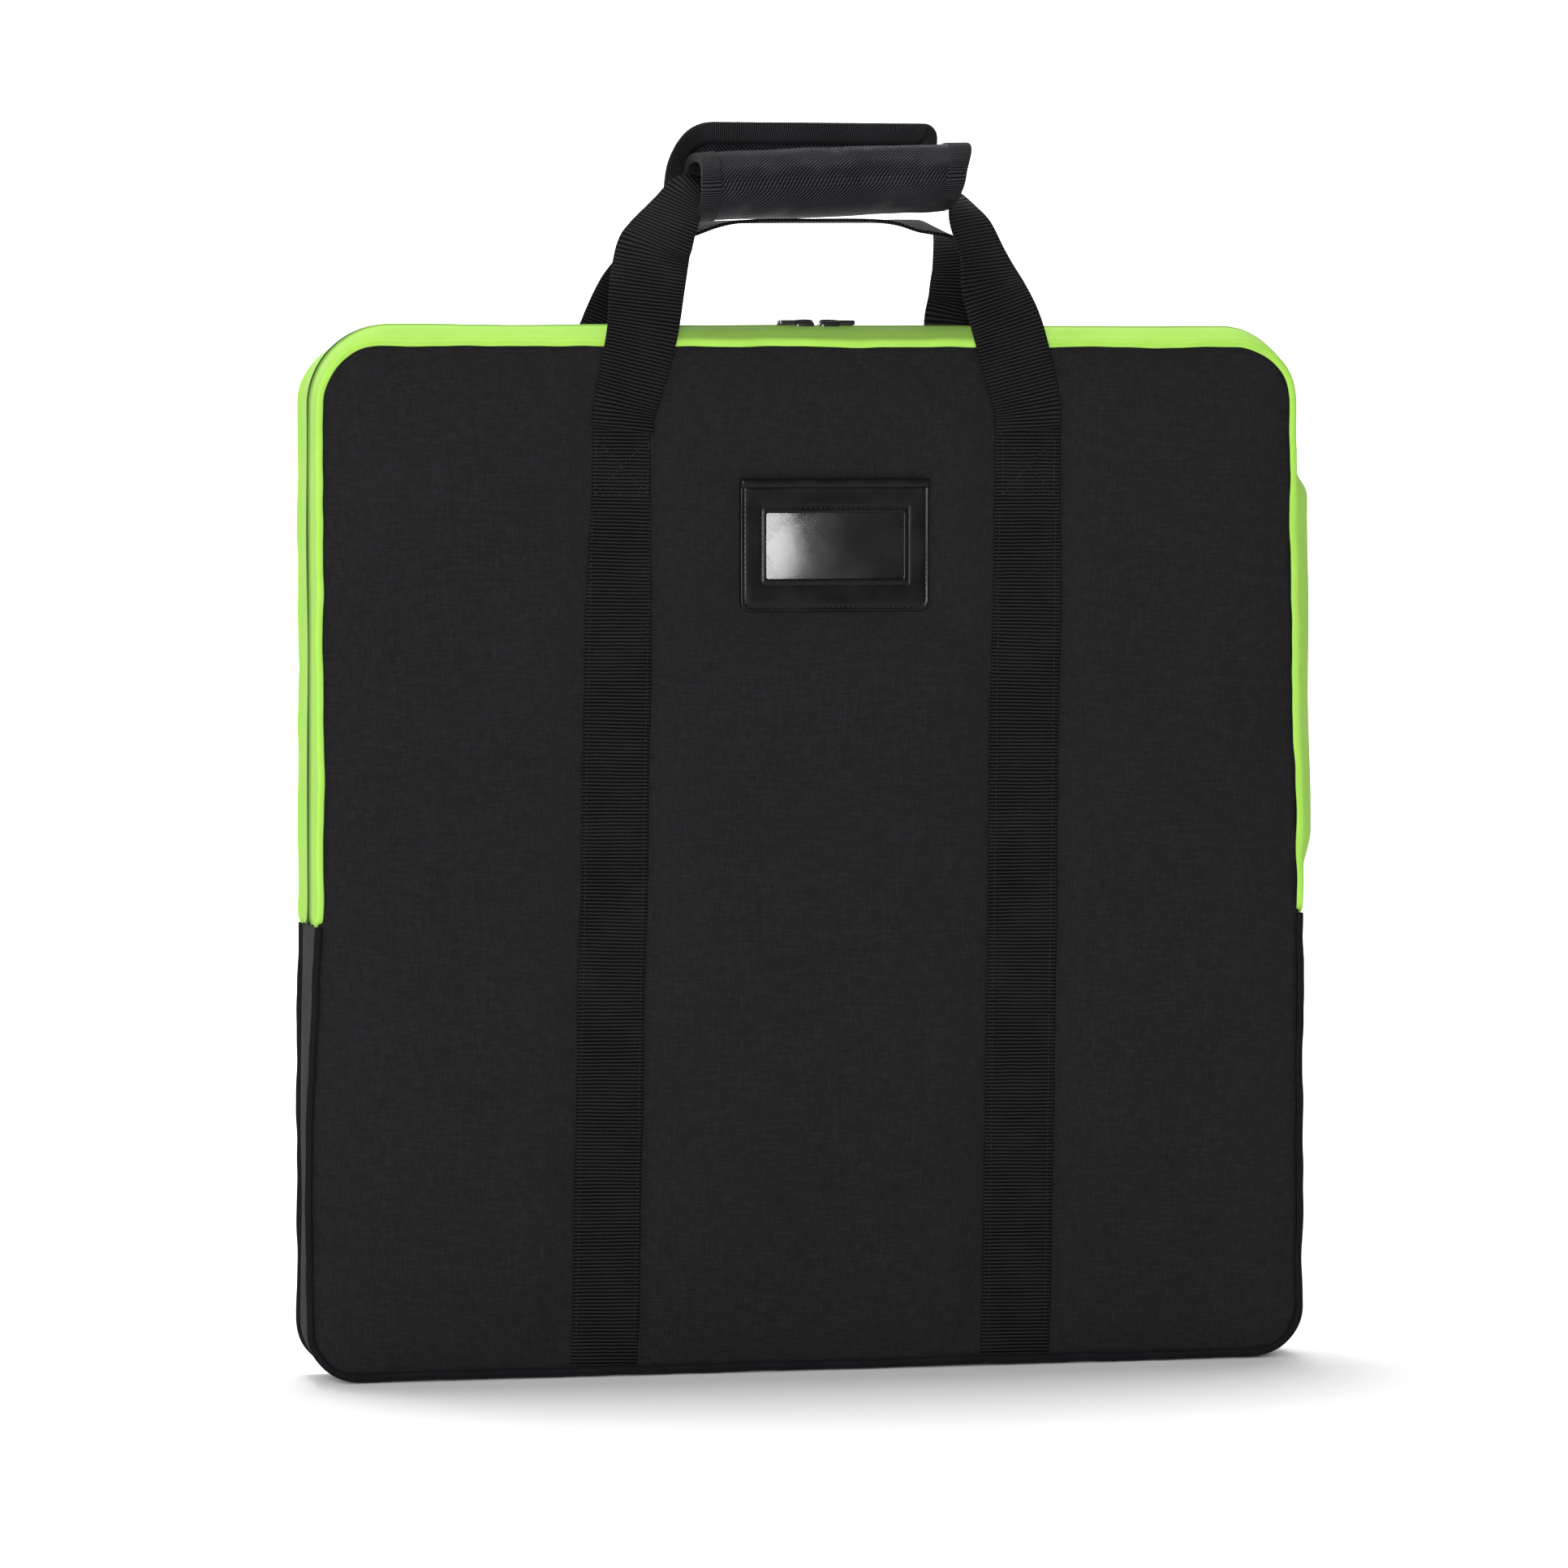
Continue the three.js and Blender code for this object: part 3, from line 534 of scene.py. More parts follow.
# A sheet over the panel outline: rows at rising z, each stretched between the left and right
# seams, which pull in round the corners by radius - sqrt(radius^2 - reach^2).
def panelGrid(cols, rows, inset, share=1.0):
    low, high = outline["seamBottom"] + inset, outline["seamTop"] - inset
    t = np.linspace(0, np.pi, rows)
    z = low + (high - low) * (0.55 * np.linspace(0, 1, rows) + 0.45 * (1 - np.cos(t)) / 2)
    edges = []
    for k, base in ((0, "seamLeft"), (1, "seamRight")):
        topRadius = outline["seamTopRadius"][k] - inset
        lowRadius = outline["seamBottomRadius"][k] - inset
        overTop = np.clip(z - (high - topRadius), 0, topRadius)
        underLow = np.clip(low + lowRadius - z, 0, lowRadius)
        pull = (topRadius - np.sqrt(topRadius ** 2 - overTop ** 2) + lowRadius
                - np.sqrt(lowRadius ** 2 - underLow ** 2))
        side = 1 if k else -1
        edge = sway(np.full(rows, outline[base]), z, share) - side * inset
        edges.append(edge - side * pull)
    u = np.linspace(0, 1, cols)
    u = 0.6 * u + 0.4 * (1 - np.cos(np.pi * u)) / 2
    x = edges[0][:, None] + (edges[1] - edges[0])[:, None] * u[None]
    z = np.repeat(z[:, None], cols, 1)
    toSide = np.minimum(x - edges[0][:, None], edges[1][:, None] - x)
    toEnd = np.minimum(z - low, high - z)
    return x, z, np.minimum(toSide, toEnd)


strap = {"width": 36 * mm, "thickness": 1.7 * mm, "lowZ": 6 * mm, "leftFoot": -109.6 * mm,
         "leftTop": -100 * mm, "rightFoot": 104.6 * mm, "rightTop": 110.7 * mm}


def strapCentre(side, z, rear=False):
    if rear:
        return side * strapX * np.ones_like(z)
    foot, top = ("leftFoot", "leftTop") if side < 0 else ("rightFoot", "rightTop")
    return strap[foot] + (strap[top] - strap[foot]) * z / handleBase


# how far the covers stand out under straps: low at the seams, highest in the middle
def restCrown(x, z):
    reach = smoothstep(0, 0.05, z) * smoothstep(outline["seamTop"], outline["seamTop"] - 0.05, z)
    return 0.9 * mm * reach + 0.25 * mm * ripple(x, z, 3, 0.16)


cover = {"cols": 150, "rows": 156, "pressure": 9.0, "cap": 4.0 * mm, "frames": 20,
         "wall": 0.8 * mm, "turnIn": 1.9 * mm, "turnReach": 2.2 * mm}


def makeCover(name, side):
    x, z, inside = panelGrid(cover["cols"], cover["rows"], 0.2 * mm, 1.0 if side < 0 else -0.2)
    turnIn = np.exp(-inside / cover["turnReach"])
    y = halfDepth + restCrown(x, z) * smoothstep(0, 0.03, inside) - cover["turnIn"] * turnIn
    piece = sheetOver(name, x, side * y, z, shellCloth, side > 0)
    underStrap = np.zeros_like(x)
    for s in (-1, 1):
        away = np.abs(x - strapCentre(s, z, side > 0)) - strap["width"] / 2
        held = smoothstep(6 * mm, 0.5 * mm, away) * (z < handleBase + 4 * mm)
        underStrap = np.maximum(underStrap, held)
    holder = np.zeros_like(x)
    if side < 0:
        outside = np.maximum(np.maximum(idLow.x - x, x - idHigh.x),
                             np.maximum(idLow.z - z, z - idHigh.z))
        holder = smoothstep(5 * mm, 0, outside)
    pin = np.clip(smoothstep(4 * mm, 1 * mm, inside) + underStrap + holder, 0, 1)
    swell(piece, pin.ravel(), side)
    thicken(piece, cover["wall"])
    return piece


# Blows the cover out over its foam with cloth, held where the pins are. The swelling is then
# softly limited to cap * tanh(swelling / cap).
def swell(piece, pin, side):
    group = piece.vertex_groups.new(name="pin")
    for level in np.unique(np.round(pin, 1)):
        group.add(np.flatnonzero(np.round(pin, 1) == level).tolist(), float(level), "REPLACE")
    rest = np.zeros(len(piece.data.vertices) * 3)
    piece.data.vertices.foreach_get("co", rest)
    rest = rest.reshape(-1, 3)
    cloth = piece.modifiers.new("cloth", "CLOTH")
    setup = cloth.settings
    setup.quality = 5
    setup.mass = 0.25
    setup.tension_stiffness = setup.compression_stiffness = 12
    setup.shear_stiffness = 4
    setup.bending_stiffness = 0.4
    setup.air_damping = 4
    setup.vertex_group_mass = "pin"
    setup.use_pressure = True
    setup.uniform_pressure_force = cover["pressure"]
    setup.shrink_min = -0.006
    setup.effector_weights.gravity = 0
    cloth.collision_settings.use_collision = False
    cloth.point_cache.frame_start = 1
    cloth.point_cache.frame_end = cover["frames"]
    scene = bpy.context.scene
    for step in range(1, cover["frames"] + 1):
        scene.frame_set(step)
    shaped = piece.evaluated_get(bpy.context.evaluated_depsgraph_get())
    moved = np.zeros(len(rest) * 3)
    shaped.data.vertices.foreach_get("co", moved)
    moved = moved.reshape(-1, 3)
    piece.modifiers.remove(cloth)
    scene.frame_set(1)
    shift = moved - rest
    far = np.abs(shift[:, 1])
    limit = cover["cap"] * np.tanh(far / cover["cap"])
    shift[:, 1] = np.sign(side) * limit * (shift[:, 1] * side > 0)
    shift[:, [0, 2]] = np.clip(shift[:, [0, 2]], -1 * mm, 1 * mm) * 0.5
    piece.data.vertices.foreach_set("co", (rest + shift).ravel())
    piece.data.update()
    print(piece.name, "swelled by up to", round(float(limit.max()) * 1000, 2), "mm")


frontCover = makeCover("frontCover", -1)
place(frontCover, None, "shell", "front_panel_lower", "front_panel_upper")
rearCover = makeCover("rearCover", 1)
place(rearCover, "root", "shell", "rear_panel")


# foam and lining: flat sheets inside the covers, a little uneven
filling = {"inset": 3.2 * mm, "foamWall": 4 * mm, "liningWall": 0.5 * mm,
           "foamUneven": 0.1 * mm, "liningUneven": 0.25 * mm,
           "foamDepth": -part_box("front_foam_upper")[0].y - 0.3 * mm,
           "liningDepth": -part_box("front_lining_upper")[0].y}


def innerSheet(label, part, side, material, nodes):
    x, z, fromEdge = panelGrid(90, 92, filling["inset"], -0.2)
    uneven = filling[f"{part}Uneven"] * ripple(x, z, 11 if side > 0 else 12, 0.06)
    y = filling[f"{part}Depth"] + uneven * smoothstep(0, 0.02, fromEdge)
    piece = sheetOver(label + part.title(), x, side * y, z, material, side > 0)
    thicken(piece, filling[f"{part}Wall"])
    place(piece, "root" if side > 0 else None, part, *nodes)
    return piece


for side, label, ends in ((-1, "front", ("_lower", "_upper")), (1, "rear", ("",))):
    foam = innerSheet(label, "foam", side, foamSheet, [f"{label}_foam{end}" for end in ends])
    inner = innerSheet(label, "lining", side, lining, [f"{label}_lining{end}" for end in ends])
print("covers, foam and linings ready")


# webbing

# Round-edged flat section carried along a line: across is the width direction, and the
# section is a flat stretch closed by a half circle at each edge.
def ribbon(name, centre, across, width, thickness, material):
    tangent = unit(np.gradient(centre, axis=0))
    across = unit(across - tangent * np.sum(across * tangent, 1, keepdims=True))
    face = np.cross(across, tangent)
    line, turn = np.linspace(1, -1, 11), np.linspace(0, np.pi, 6)[1:-1]
    core = np.concatenate([line, -np.ones(4), -line, np.ones(4)])
    edge = np.concatenate([0 * line, -np.sin(turn), 0 * line, np.sin(turn)])
    high = np.concatenate([1 + 0 * line, np.cos(turn), -1 - 0 * line, -np.cos(turn)])
    radius = thickness / 2
    sideways = core[None] * (width[:, None] / 2 - radius) + edge[None] * radius
    points = (centre[:, None] + across[:, None] * sideways[:, :, None]
              + face[:, None] * (high * radius)[None, :, None])
    gone = runLength(centre)
    ring = np.concatenate([core * (width.mean() / 2) + edge * radius, [width.mean() / 2]])
    uv = np.stack([np.repeat(ring[None], len(gone), 0), np.repeat(gone[:, None], len(ring), 1)], -1)
    return surface(name, points, material, uv, ring=True, caps=True)


# how far from the middle of the case the outside of a cover lies
def coverFace(x, z):
    return halfDepth + restCrown(x, z) + 0.15 * mm


def panelStrap(name, side, rear, *nodes):
    z = np.linspace(strap["lowZ"], handleBase - 0.3 * mm, 160)
    x = strapCentre(side, z, rear) + 0.4 * mm * ripple(z, 0 * z, 20 + side + 5 * rear, 0.12)
    tuck = 1.6 * mm * smoothstep(0.03, 0.0, z)
    y = (coverFace(x, z) + strap["thickness"] / 2 - tuck) * (1 if rear else -1)
    narrow = 1 - (0.14 if side < 0 and not rear else 0.05) * smoothstep(0.36, 0.47, z)
    width = strap["width"] * narrow * (0.95 if side < 0 else 1.0)
    across = np.repeat([[1.0, 0, 0]], len(z), 0)
    piece = ribbon(name, np.stack([x, y, z], 1), across, width, strap["thickness"], webbing)
    place(piece, "root" if rear else None, "webbing", *nodes)


panelStrap("frontStrapLeft", -1, False, "front_strap_left_lower", "front_strap_left_upper")
panelStrap("frontStrapRight", 1, False, "front_strap_right_lower", "front_strap_right_upper")
panelStrap("rearStrapLeft", -1, True, "rear_strap_left")
panelStrap("rearStrapRight", 1, True, "rear_strap_right")

# Handles: stations of (x, y, z), the direction of the inner edge, and the width, in
# millimetres. The inner edge comes outward as each leg turns into the grip.
frontStations = [
    (-100.2, -27.4, 474, 1, 0, 0, 32), (-98.9, -27.9, 485, 1, 0, 0, 32),
    (-95.2, -28.4, 500, 1, 0, 0, 34), (-89.8, -28.2, 524, 1, 0, 0, 36.5),
    (-86.6, -25.5, 547, 0.99, -0.1, 0, 38), (-83.2, -22, 562, 0.97, -0.2, -0.08, 37.5),
    (-79, -19.5, 570, 0.9, -0.36, -0.22, 35.5), (-74, -17, 578, 0.68, -0.58, -0.44, 32),
    (-68.5, -14, 585, 0.36, -0.72, -0.55, 30), (-60, -11.5, 592.5, 0.1, -0.75, -0.65, 31),
    (-50, -10.6, 595.3, 0, -0.92, -0.38, 30), (-36, -10.3, 597, 0, -1, -0.1, 33),
    (8, -10, 598.5, 0, -1, 0, 34), (50, -10.3, 600, 0, -1, 0, 34),
    (66, -11.3, 598.8, 0, -0.98, -0.12, 34), (76, -14, 591, -0.32, -0.92, -0.25, 36),
    (82.3, -17.5, 578.5, -0.72, -0.68, -0.1, 37), (88.6, -22, 561.5, -0.82, -0.56, 0, 37),
    (92.6, -25.5, 545, -0.95, -0.22, 0.02, 37), (99.4, -28.2, 525, -1, 0, 0, 37),
    (106.3, -28.4, 500, -1, 0, 0, 36), (109.8, -27.9, 485, -1, 0, 0, 35),
    (110.7, -27.4, 474, -1, 0, 0, 34)]
rearStations = [
    (-105.5, 27.4, 474, 1, 0, 0, 36), (-104.3, 27.8, 485, 1, 0, 0, 36),
    (-100, 28.2, 500, 1, 0, 0, 36), (-90.5, 28, 525, 1, 0, 0, 36.5),
    (-82.5, 25, 546, 0.97, 0.2, 0.05, 37), (-77, 21, 560, 0.85, 0.5, 0.1, 37),
    (-70.5, 17.5, 570.5, 0.5, 0.82, 0.28, 37), (-58, 15.2, 574.8, 0.1, 0.95, 0.2, 37),
    (-35, 14.6, 578.8, 0, 1, 0.02, 37), (8, 14.6, 579.7, 0, 1, 0, 37),
    (42, 14.6, 579.6, 0, 1, 0.02, 37), (60, 15, 577.4, 0, 0.97, 0.16, 37),
    (74, 16, 575.8, -0.15, 0.95, 0.22, 37), (83.5, 18, 569.5, -0.48, 0.82, 0.28, 37),
    (90.3, 21.2, 556, -0.75, 0.65, 0.08, 37), (91.6, 25, 541, -0.92, 0.3, 0.05, 37),
    (89.6, 28, 524, -1, 0, 0, 37), (97, 28.2, 500, -1, 0, 0, 36),
    (101.8, 27.8, 485, -1, 0, 0, 36), (103.2, 27.4, 474, -1, 0, 0, 36)]


def handleLoop(name, stations, node):
    path = through(np.array(stations) * [mm, mm, mm, 1, 1, 1, mm], 1.6 * mm)
    across = unit(path[:, 3:6])
    piece = ribbon(name, path[:, :3], across, path[:, 6], strap["thickness"], webbing)
    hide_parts(node)
    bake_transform(piece)


handleLoop("frontHandle", frontStations, "front_handle_webbing")
handleLoop("rearHandle", rearStations, "rear_handle_webbing")
print("webbing ready")


# grip wrap

# A padded tube round the front grip. Its section is a superellipse,
# (deep * sgn(cos) |cos|^power, tall * sgn(sin) |sin|^power), fatter between the bindings,
# with slanting creases pressed into it. The ends are cut on a slant.
wrap = {"low": rollLow.x - 9.6 * mm, "high": rollHigh.x + 10.4 * mm,
        "deep": 20.5 * mm, "tall": 16.6 * mm, "power": 0.74, "rise": 0.045,
        "centreY": (rollLow.y + rollHigh.y) / 2 - 1.2 * mm,
        "centreZ": (rollLow.z + rollHigh.z) / 2 - 0.4 * mm,
        "wall": 3.4 * mm, "binding": 10.4 * mm, "bindingLift": 0.65 * mm,
        # each crease: its place and lean along the grip, its depth and width in millimetres
        "creases": ((-30, 0.5, 1.3, 5), (-6, 0.8, 1.1, 6), (24, -0.6, 1.2, 6), (49, 0.7, 0.9, 5))}
middleX = (wrap["low"] + wrap["high"]) / 2


def rollPoint(x, angle, grow):
    c, s = np.cos(angle), np.sin(angle)
    span = (wrap["high"] - wrap["low"]) / 2
    t = np.clip(np.abs(x - middleX) / span, 0, 1)
    plump = 1 + 0.05 * (1 - t ** 4)
    slanted = (x + (x - middleX) / span * (2.5 * mm * s - 1.2 * mm)
               + 3.0 * mm * s * smoothstep(0.5, 1, t))
    crease = np.zeros_like(x)
    for at, lean, deep, wide in wrap["creases"]:
        off = (x - at * mm) / mm - lean * 17 * s
        pressed = np.exp(-(off / wide) ** 2) * smoothstep(0.35, 1.0, -c * 0.5 + 0.5)
        crease = crease + deep * mm * pressed
    uneven = 0.35 * mm * ripple(x, angle * 0.02, 31, 0.03)
    r = grow - crease * smoothstep(1.0, 0.8, t) + uneven
    y = wrap["centreY"] + np.sign(c) * np.abs(c) ** wrap["power"] * (wrap["deep"] * plump + r)
    z = (wrap["centreZ"] + np.sign(s) * np.abs(s) ** wrap["power"] * (wrap["tall"] * plump + r)
         + wrap["rise"] * (x - middleX))
    return np.stack([slanted, y, z], -1)


def rollSleeve(name, low, high, grow, material, count, node, slotName, turned=False):
    sides = 96
    x, angle = np.meshgrid(np.linspace(low, high, count),
                           np.linspace(0, 2 * np.pi, sides + 1)[:-1], indexing="ij")
    around = np.linspace(0, 2 * np.pi, sides + 1) * 19 * mm
    a, b = np.meshgrid(around, np.linspace(low, high, count))
    uv = np.stack([b, a] if turned else [a, b], -1)
    piece = surface(name, rollPoint(x, angle, grow), material, uv, ring=True)
    faceOut(piece)
    place(piece, "front_handle", slotName, node)
    return piece


innerLow, innerHigh = wrap["low"] + wrap["binding"], wrap["high"] - wrap["binding"]
roll = rollSleeve("wrapRoll", wrap["low"] + 1.5 * mm, wrap["high"] - 1.5 * mm, 0, wrapTwill, 110,
                  "handle_wrap_roll", "twill")
thicken(roll, wrap["wall"])
for label, low, high in (("Left", wrap["low"], innerLow), ("Right", innerHigh, wrap["high"])):
    bind = rollSleeve(f"wrapBinding{label}", low, high, wrap["bindingLift"], grosgrain, 14,
                      f"wrap_binding_{label.lower()}", "binding", turned=True)
    thicken(bind, wrap["wall"] + 1.4 * mm)
    bevel = bind.modifiers.new("edge", "BEVEL")
    bevel.width = 0.9 * mm
    bevel.segments = 3
    bevel.limit_method = "ANGLE"

# Flap: a rounded sheet behind the roll, leaning over it at the top, with its left end
# curled forward: depth = base - lean * up^2 - curl * bend^2, where up is the share of the
# height and bend how far past the left bend, and a slight wave grows upward.
flap = {"left": flapLow.x - 6 * mm, "right": flapHigh.x - 4 * mm, "low": flapLow.z + 1.5 * mm,
        "high": flapHigh.z - 1 * mm, "radii": (7 * mm, 7 * mm, 7 * mm, 25 * mm),
        "wall": 2.6 * mm, "base": (flapLow.y + flapHigh.y) / 2, "lean": 2.5 * mm,
        "curl": 13 * mm, "curlReach": 24 * mm, "wave": 0.5 * mm, "binding": 10.5 * mm}


def flapDepth(x, z):
    up = np.clip((z - flap["low"]) / (flap["high"] - flap["low"]), 0, 1)
    bend = np.clip((flap["left"] + flap["curlReach"] - x) / flap["curlReach"], 0, 1)
    wave = flap["wave"] * ripple(x, z, 41, 0.05)
    return (flap["base"] - flap["lean"] * up ** 2
            - flap["curl"] * bend ** 2 * smoothstep(0.2, 0.9, up) + wave * up)


# a closed loop round the flap, drawn in by inset
def flapLoop(inset):
    radii = [max(radius - inset, 1.2 * mm) for radius in flap["radii"]]
    return roundedLoop(flap["left"] + inset, flap["right"] - inset, flap["low"] + inset,
                       flap["high"] - inset, radii, corner=14, side=50)


# the cloth: loops drawn in step by step, then shrunk to the middle
rings = np.stack([flapLoop(inset) for inset in np.linspace(3 * mm, 20 * mm, 12)])
centre = rings[-1].mean(0)
inner = np.stack([centre + (rings[-1] - centre) * f for f in (0.75, 0.5, 0.25, 0.004)])
flat = np.concatenate([rings, inner])
x, z = flat[..., 0], flat[..., 1]
flapCloth = surface("wrapFlap", np.stack([x, flapDepth(x, z), z], -1), wrapTwill,
                    np.concatenate([flat, flat[:, :1]], 1), ring=True)
thicken(flapCloth, flap["wall"] - 0.6 * mm)

# the binding, folded over the edge: (how far in, share of half the flap's thickness)
fold = np.array([(flap["binding"], -1.0), (8 * mm, -1.08), (4 * mm, -1.12), (1 * mm, -1.05),
                 (0, -0.6), (-0.4 * mm, 0), (0, 0.6), (1 * mm, 1.05), (4 * mm, 1.12),
                 (8 * mm, 1.08), (flap["binding"], 1.0)])
loops = np.stack([flapLoop(inset) for inset in fold[:, 0]])
x, z = loops[..., 0], loops[..., 1]
y = flapDepth(x, z) + fold[:, 1:2] * (flap["wall"] / 2 + 0.15 * mm)
gone = runLength(loops[5])
gone = np.append(gone, gone[-1] + 1 * mm)
uv = np.stack(np.meshgrid(runLength(fold * [1, mm]), gone, indexing="ij"), -1)
flapBinding = surface("wrapFlapBinding", np.stack([x, y, z], -1), grosgrain, uv, ring=True)
faceOut(flapBinding)
thicken(flapBinding, 0.5 * mm)

hookLow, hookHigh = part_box("wrap_hook_tape")
x, z = uprightGrid(hookLow.x, hookHigh.x, hookLow.z - 2 * mm, hookHigh.z - 5 * mm, 60, 14)
y = flapDepth(x, z) - flap["wall"] / 2 - 0.2 * mm
hookTape = sheetOver("wrapHookTape", x, y, z, hookCloth)
faceOut(hookTape)
thicken(hookTape, 0.8 * mm, inward=False)
place(flapCloth, "wrap_flap", "twill", "handle_wrap_flap")
place(flapBinding, "wrap_flap", "binding", "wrap_flap_binding")
place(hookTape, "wrap_flap", "hook", "wrap_hook_tape")
print("grip wrap ready")


# card holder

windowLow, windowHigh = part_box("id_window")
lap = 6 * mm
holder = {"left": idLow.x, "right": idHigh.x, "low": idLow.z, "high": idHigh.z,
          "windowLeft": windowLow.x + lap, "windowRight": windowHigh.x - lap,
          "windowLow": windowLow.z + lap, "windowHigh": windowHigh.z - lap,
          "y": -(halfDepth + 2.0 * mm), "backingY": -(halfDepth + 1.45 * mm),
          "width": 12 * mm, "sag": 0.25 * mm, "bow": 0.5 * mm, "stripHigh": 4.0 * mm,
          "lowRadius": 5 * mm, "highRadius": 1.5 * mm, "windowRadius": 1.2 * mm}


# a loop round the holder's edge or round its window, grown outward at each side
def holderLoop(which, grow, growHigh, lowRadius, highRadius):
    left, right, low, high = which
    return roundedLoop(holder[left] - grow, holder[right] + grow, holder[low] - grow,
                       holder[high] + growHigh, (lowRadius, lowRadius, highRadius, highRadius))


edgeKeys = ("left", "right", "low", "high")
windowKeys = ("windowLeft", "windowRight", "windowLow", "windowHigh")
outer = holderLoop(edgeKeys, 0, 0, holder["lowRadius"], holder["highRadius"])
inner = holderLoop(windowKeys, 0, 0, holder["windowRadius"], holder["windowRadius"])
# across the frame: share of the way in, and height of the skin in millimetres. It rises over
# the turned edge, dips at each stitch line and rolls down into the window.
across = np.array([(0, -0.9), (0, 0.5), (0.015, 0.95), (0.06, 1.2), (0.11, 0.95), (0.15, 0.82),
                   (0.19, 1.0), (0.3, 1.12), (0.5, 1.15), (0.68, 1.1), (0.76, 1.0), (0.8, 0.85),
                   (0.84, 1.0), (0.93, 1.25), (0.985, 1.0), (1, 0.6), (1, -0.2)])
dense = through(np.column_stack([across[:, 0] * holder["width"], across[:, 1] * mm,
                                 0 * across[:, 0]]), 0.3 * mm)
share, height = dense[:, 0] / holder["width"], dense[:, 1]
flat = outer[None] + (inner - outer)[None] * np.clip(share, 0, 1)[:, None, None]
sag = holder["sag"] * ripple(flat[..., 0], flat[..., 1], 51, 0.05)
points = np.stack([flat[..., 0], holder["y"] - height[:, None] + sag, flat[..., 1]], -1)
idFrame = surface("idFrame", points, leatherette, np.concatenate([flat, flat[:, :1]], 1), ring=True)
faceOut(idFrame)

# folded strip along the top edge of the holder, arched by sin(pi t)^0.5
x, t = uprightGrid(holder["left"] + 0.2 * mm, holder["right"] - 0.2 * mm, 0, 1, 70, 12)
z = holder["high"] - holder["stripHigh"] * (1 - t) + 0.5 * mm
arch = 0.75 * mm * np.sin(np.pi * np.clip(t, 0.02, 0.98)) ** 0.5
y = holder["y"] - 1.25 * mm - arch + 0.1 * mm * ripple(x, z, 52, 0.03)
idStrip = sheetOver("idTopFold", x, y, z, leatherette)
thicken(idStrip, 0.7 * mm)

# window: a clear sheet, bowed outward by bow * sin(pi u)^0.8 * sin(pi v)^0.5
x, z = uprightGrid(windowLow.x + 1 * mm, windowHigh.x - 1 * mm,
                   windowLow.z + 1 * mm, windowHigh.z - 1 * mm, 60, 30)
u = (x - windowLow.x) / (windowHigh.x - windowLow.x)
v = (z - windowLow.z) / (windowHigh.z - windowLow.z)
bow = holder["bow"] * np.sin(np.pi * np.clip(u, 0, 1)) ** 0.8 * np.sin(np.pi * v) ** 0.5
idWindow = sheetOver("idWindow", x, holder["y"] + 0.3 * mm - bow, z, clearSheet)
thicken(idWindow, 0.25 * mm)
x, z = uprightGrid(holder["left"] + 1 * mm, holder["right"] - 1 * mm,
                   holder["low"] + 1 * mm, holder["high"] - 1 * mm, 60, 40)
y = holder["backingY"] + 0.15 * mm * ripple(x, z, 53, 0.02)
idBacking = sheetOver("idBacking", x, y, z, wrapTwill)
thicken(idBacking, 0.4 * mm)
place(idFrame, "front_flap", "leatherette", "id_frame")
place(idStrip, "front_flap", "leatherette")
place(idWindow, "front_flap", "clear", "id_window")
place(idBacking, "front_flap", "twill", "id_backing")


# stitching

# Rows of stitches, each a short bead of five sides and four rings, sunk at both ends. At a
# share t of its length the radius is gauge * sin(pi t)^0.4, and it arches by 0.9 * gauge.
stitch = {"pitch": 3 * mm, "boxGauge": 0.32 * mm, "edgeGauge": 0.26 * mm, "share": 0.72,
          "holderPitch": 2.6 * mm, "holderGauge": 0.4 * mm, "sides": 5,
          "boxLow": 0.442, "boxHigh": 0.470, "edgeLow": 0.02, "edgeHigh": 0.436,
          "boxInset": 4.5 * mm, "edgeInset": 3.2 * mm, "rings": (0.03, 0.25, 0.75, 0.97)}


# with no body, the stitches are baked in place
def stitchRow(name, lines, outward, pitch, gauge, body):
    beads = []
    sides, t = stitch["sides"], np.array(stitch["rings"])
    ringAngle = np.arange(sides) * 2 * np.pi / sides
    for line in lines:
        gone = runLength(line)
        count = max(int(gone[-1] / pitch), 1)
        start = np.arange(count) * gone[-1] / count
        length = gone[-1] / count * stitch["share"]
        a = np.stack([np.interp(start, gone, line[:, k]) for k in range(3)], 1)
        b = np.stack([np.interp(start + length, gone, line[:, k]) for k in range(3)], 1)
        tangent = unit(b - a)
        sideways = unit(np.cross(tangent, outward))
        out = np.cross(sideways, tangent)
        radius = gauge * np.sin(np.pi * t) ** 0.4
        arch = gauge * 0.9 * np.sin(np.pi * t) - 0.3 * gauge
        centre = (a[:, None] + (b - a)[:, None] * t[None, :, None]
                  + out[:, None] * arch[None, :, None])
        ring = (sideways[:, None, None] * np.cos(ringAngle)[None, None, :, None]
                + out[:, None, None] * np.sin(ringAngle)[None, None, :, None])
        beads.append(centre[:, :, None] + ring * radius[None, :, None, None])
    beads = np.concatenate(beads)
    first = np.arange(len(beads))[:, None] * sides * len(t)
    base = first[:, None] + np.arange(len(t) - 1)[None, :, None] * sides
    k = np.arange(sides)[None, None, :]
    after = (k + 1) % sides
    quads = np.stack([base + k, base + after, base + sides + after, base + sides + k], -1)
    ends = (first + np.arange(sides)[None, ::-1]).tolist()
    ends += (first + sides * (len(t) - 1) + np.arange(sides)[None]).tolist()
    piece = newPiece(name, beads, quads.reshape(-1, 4).tolist() + ends, thread)
    faceOut(piece)
    if body:
        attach(piece, body)
    else:
        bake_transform(piece)


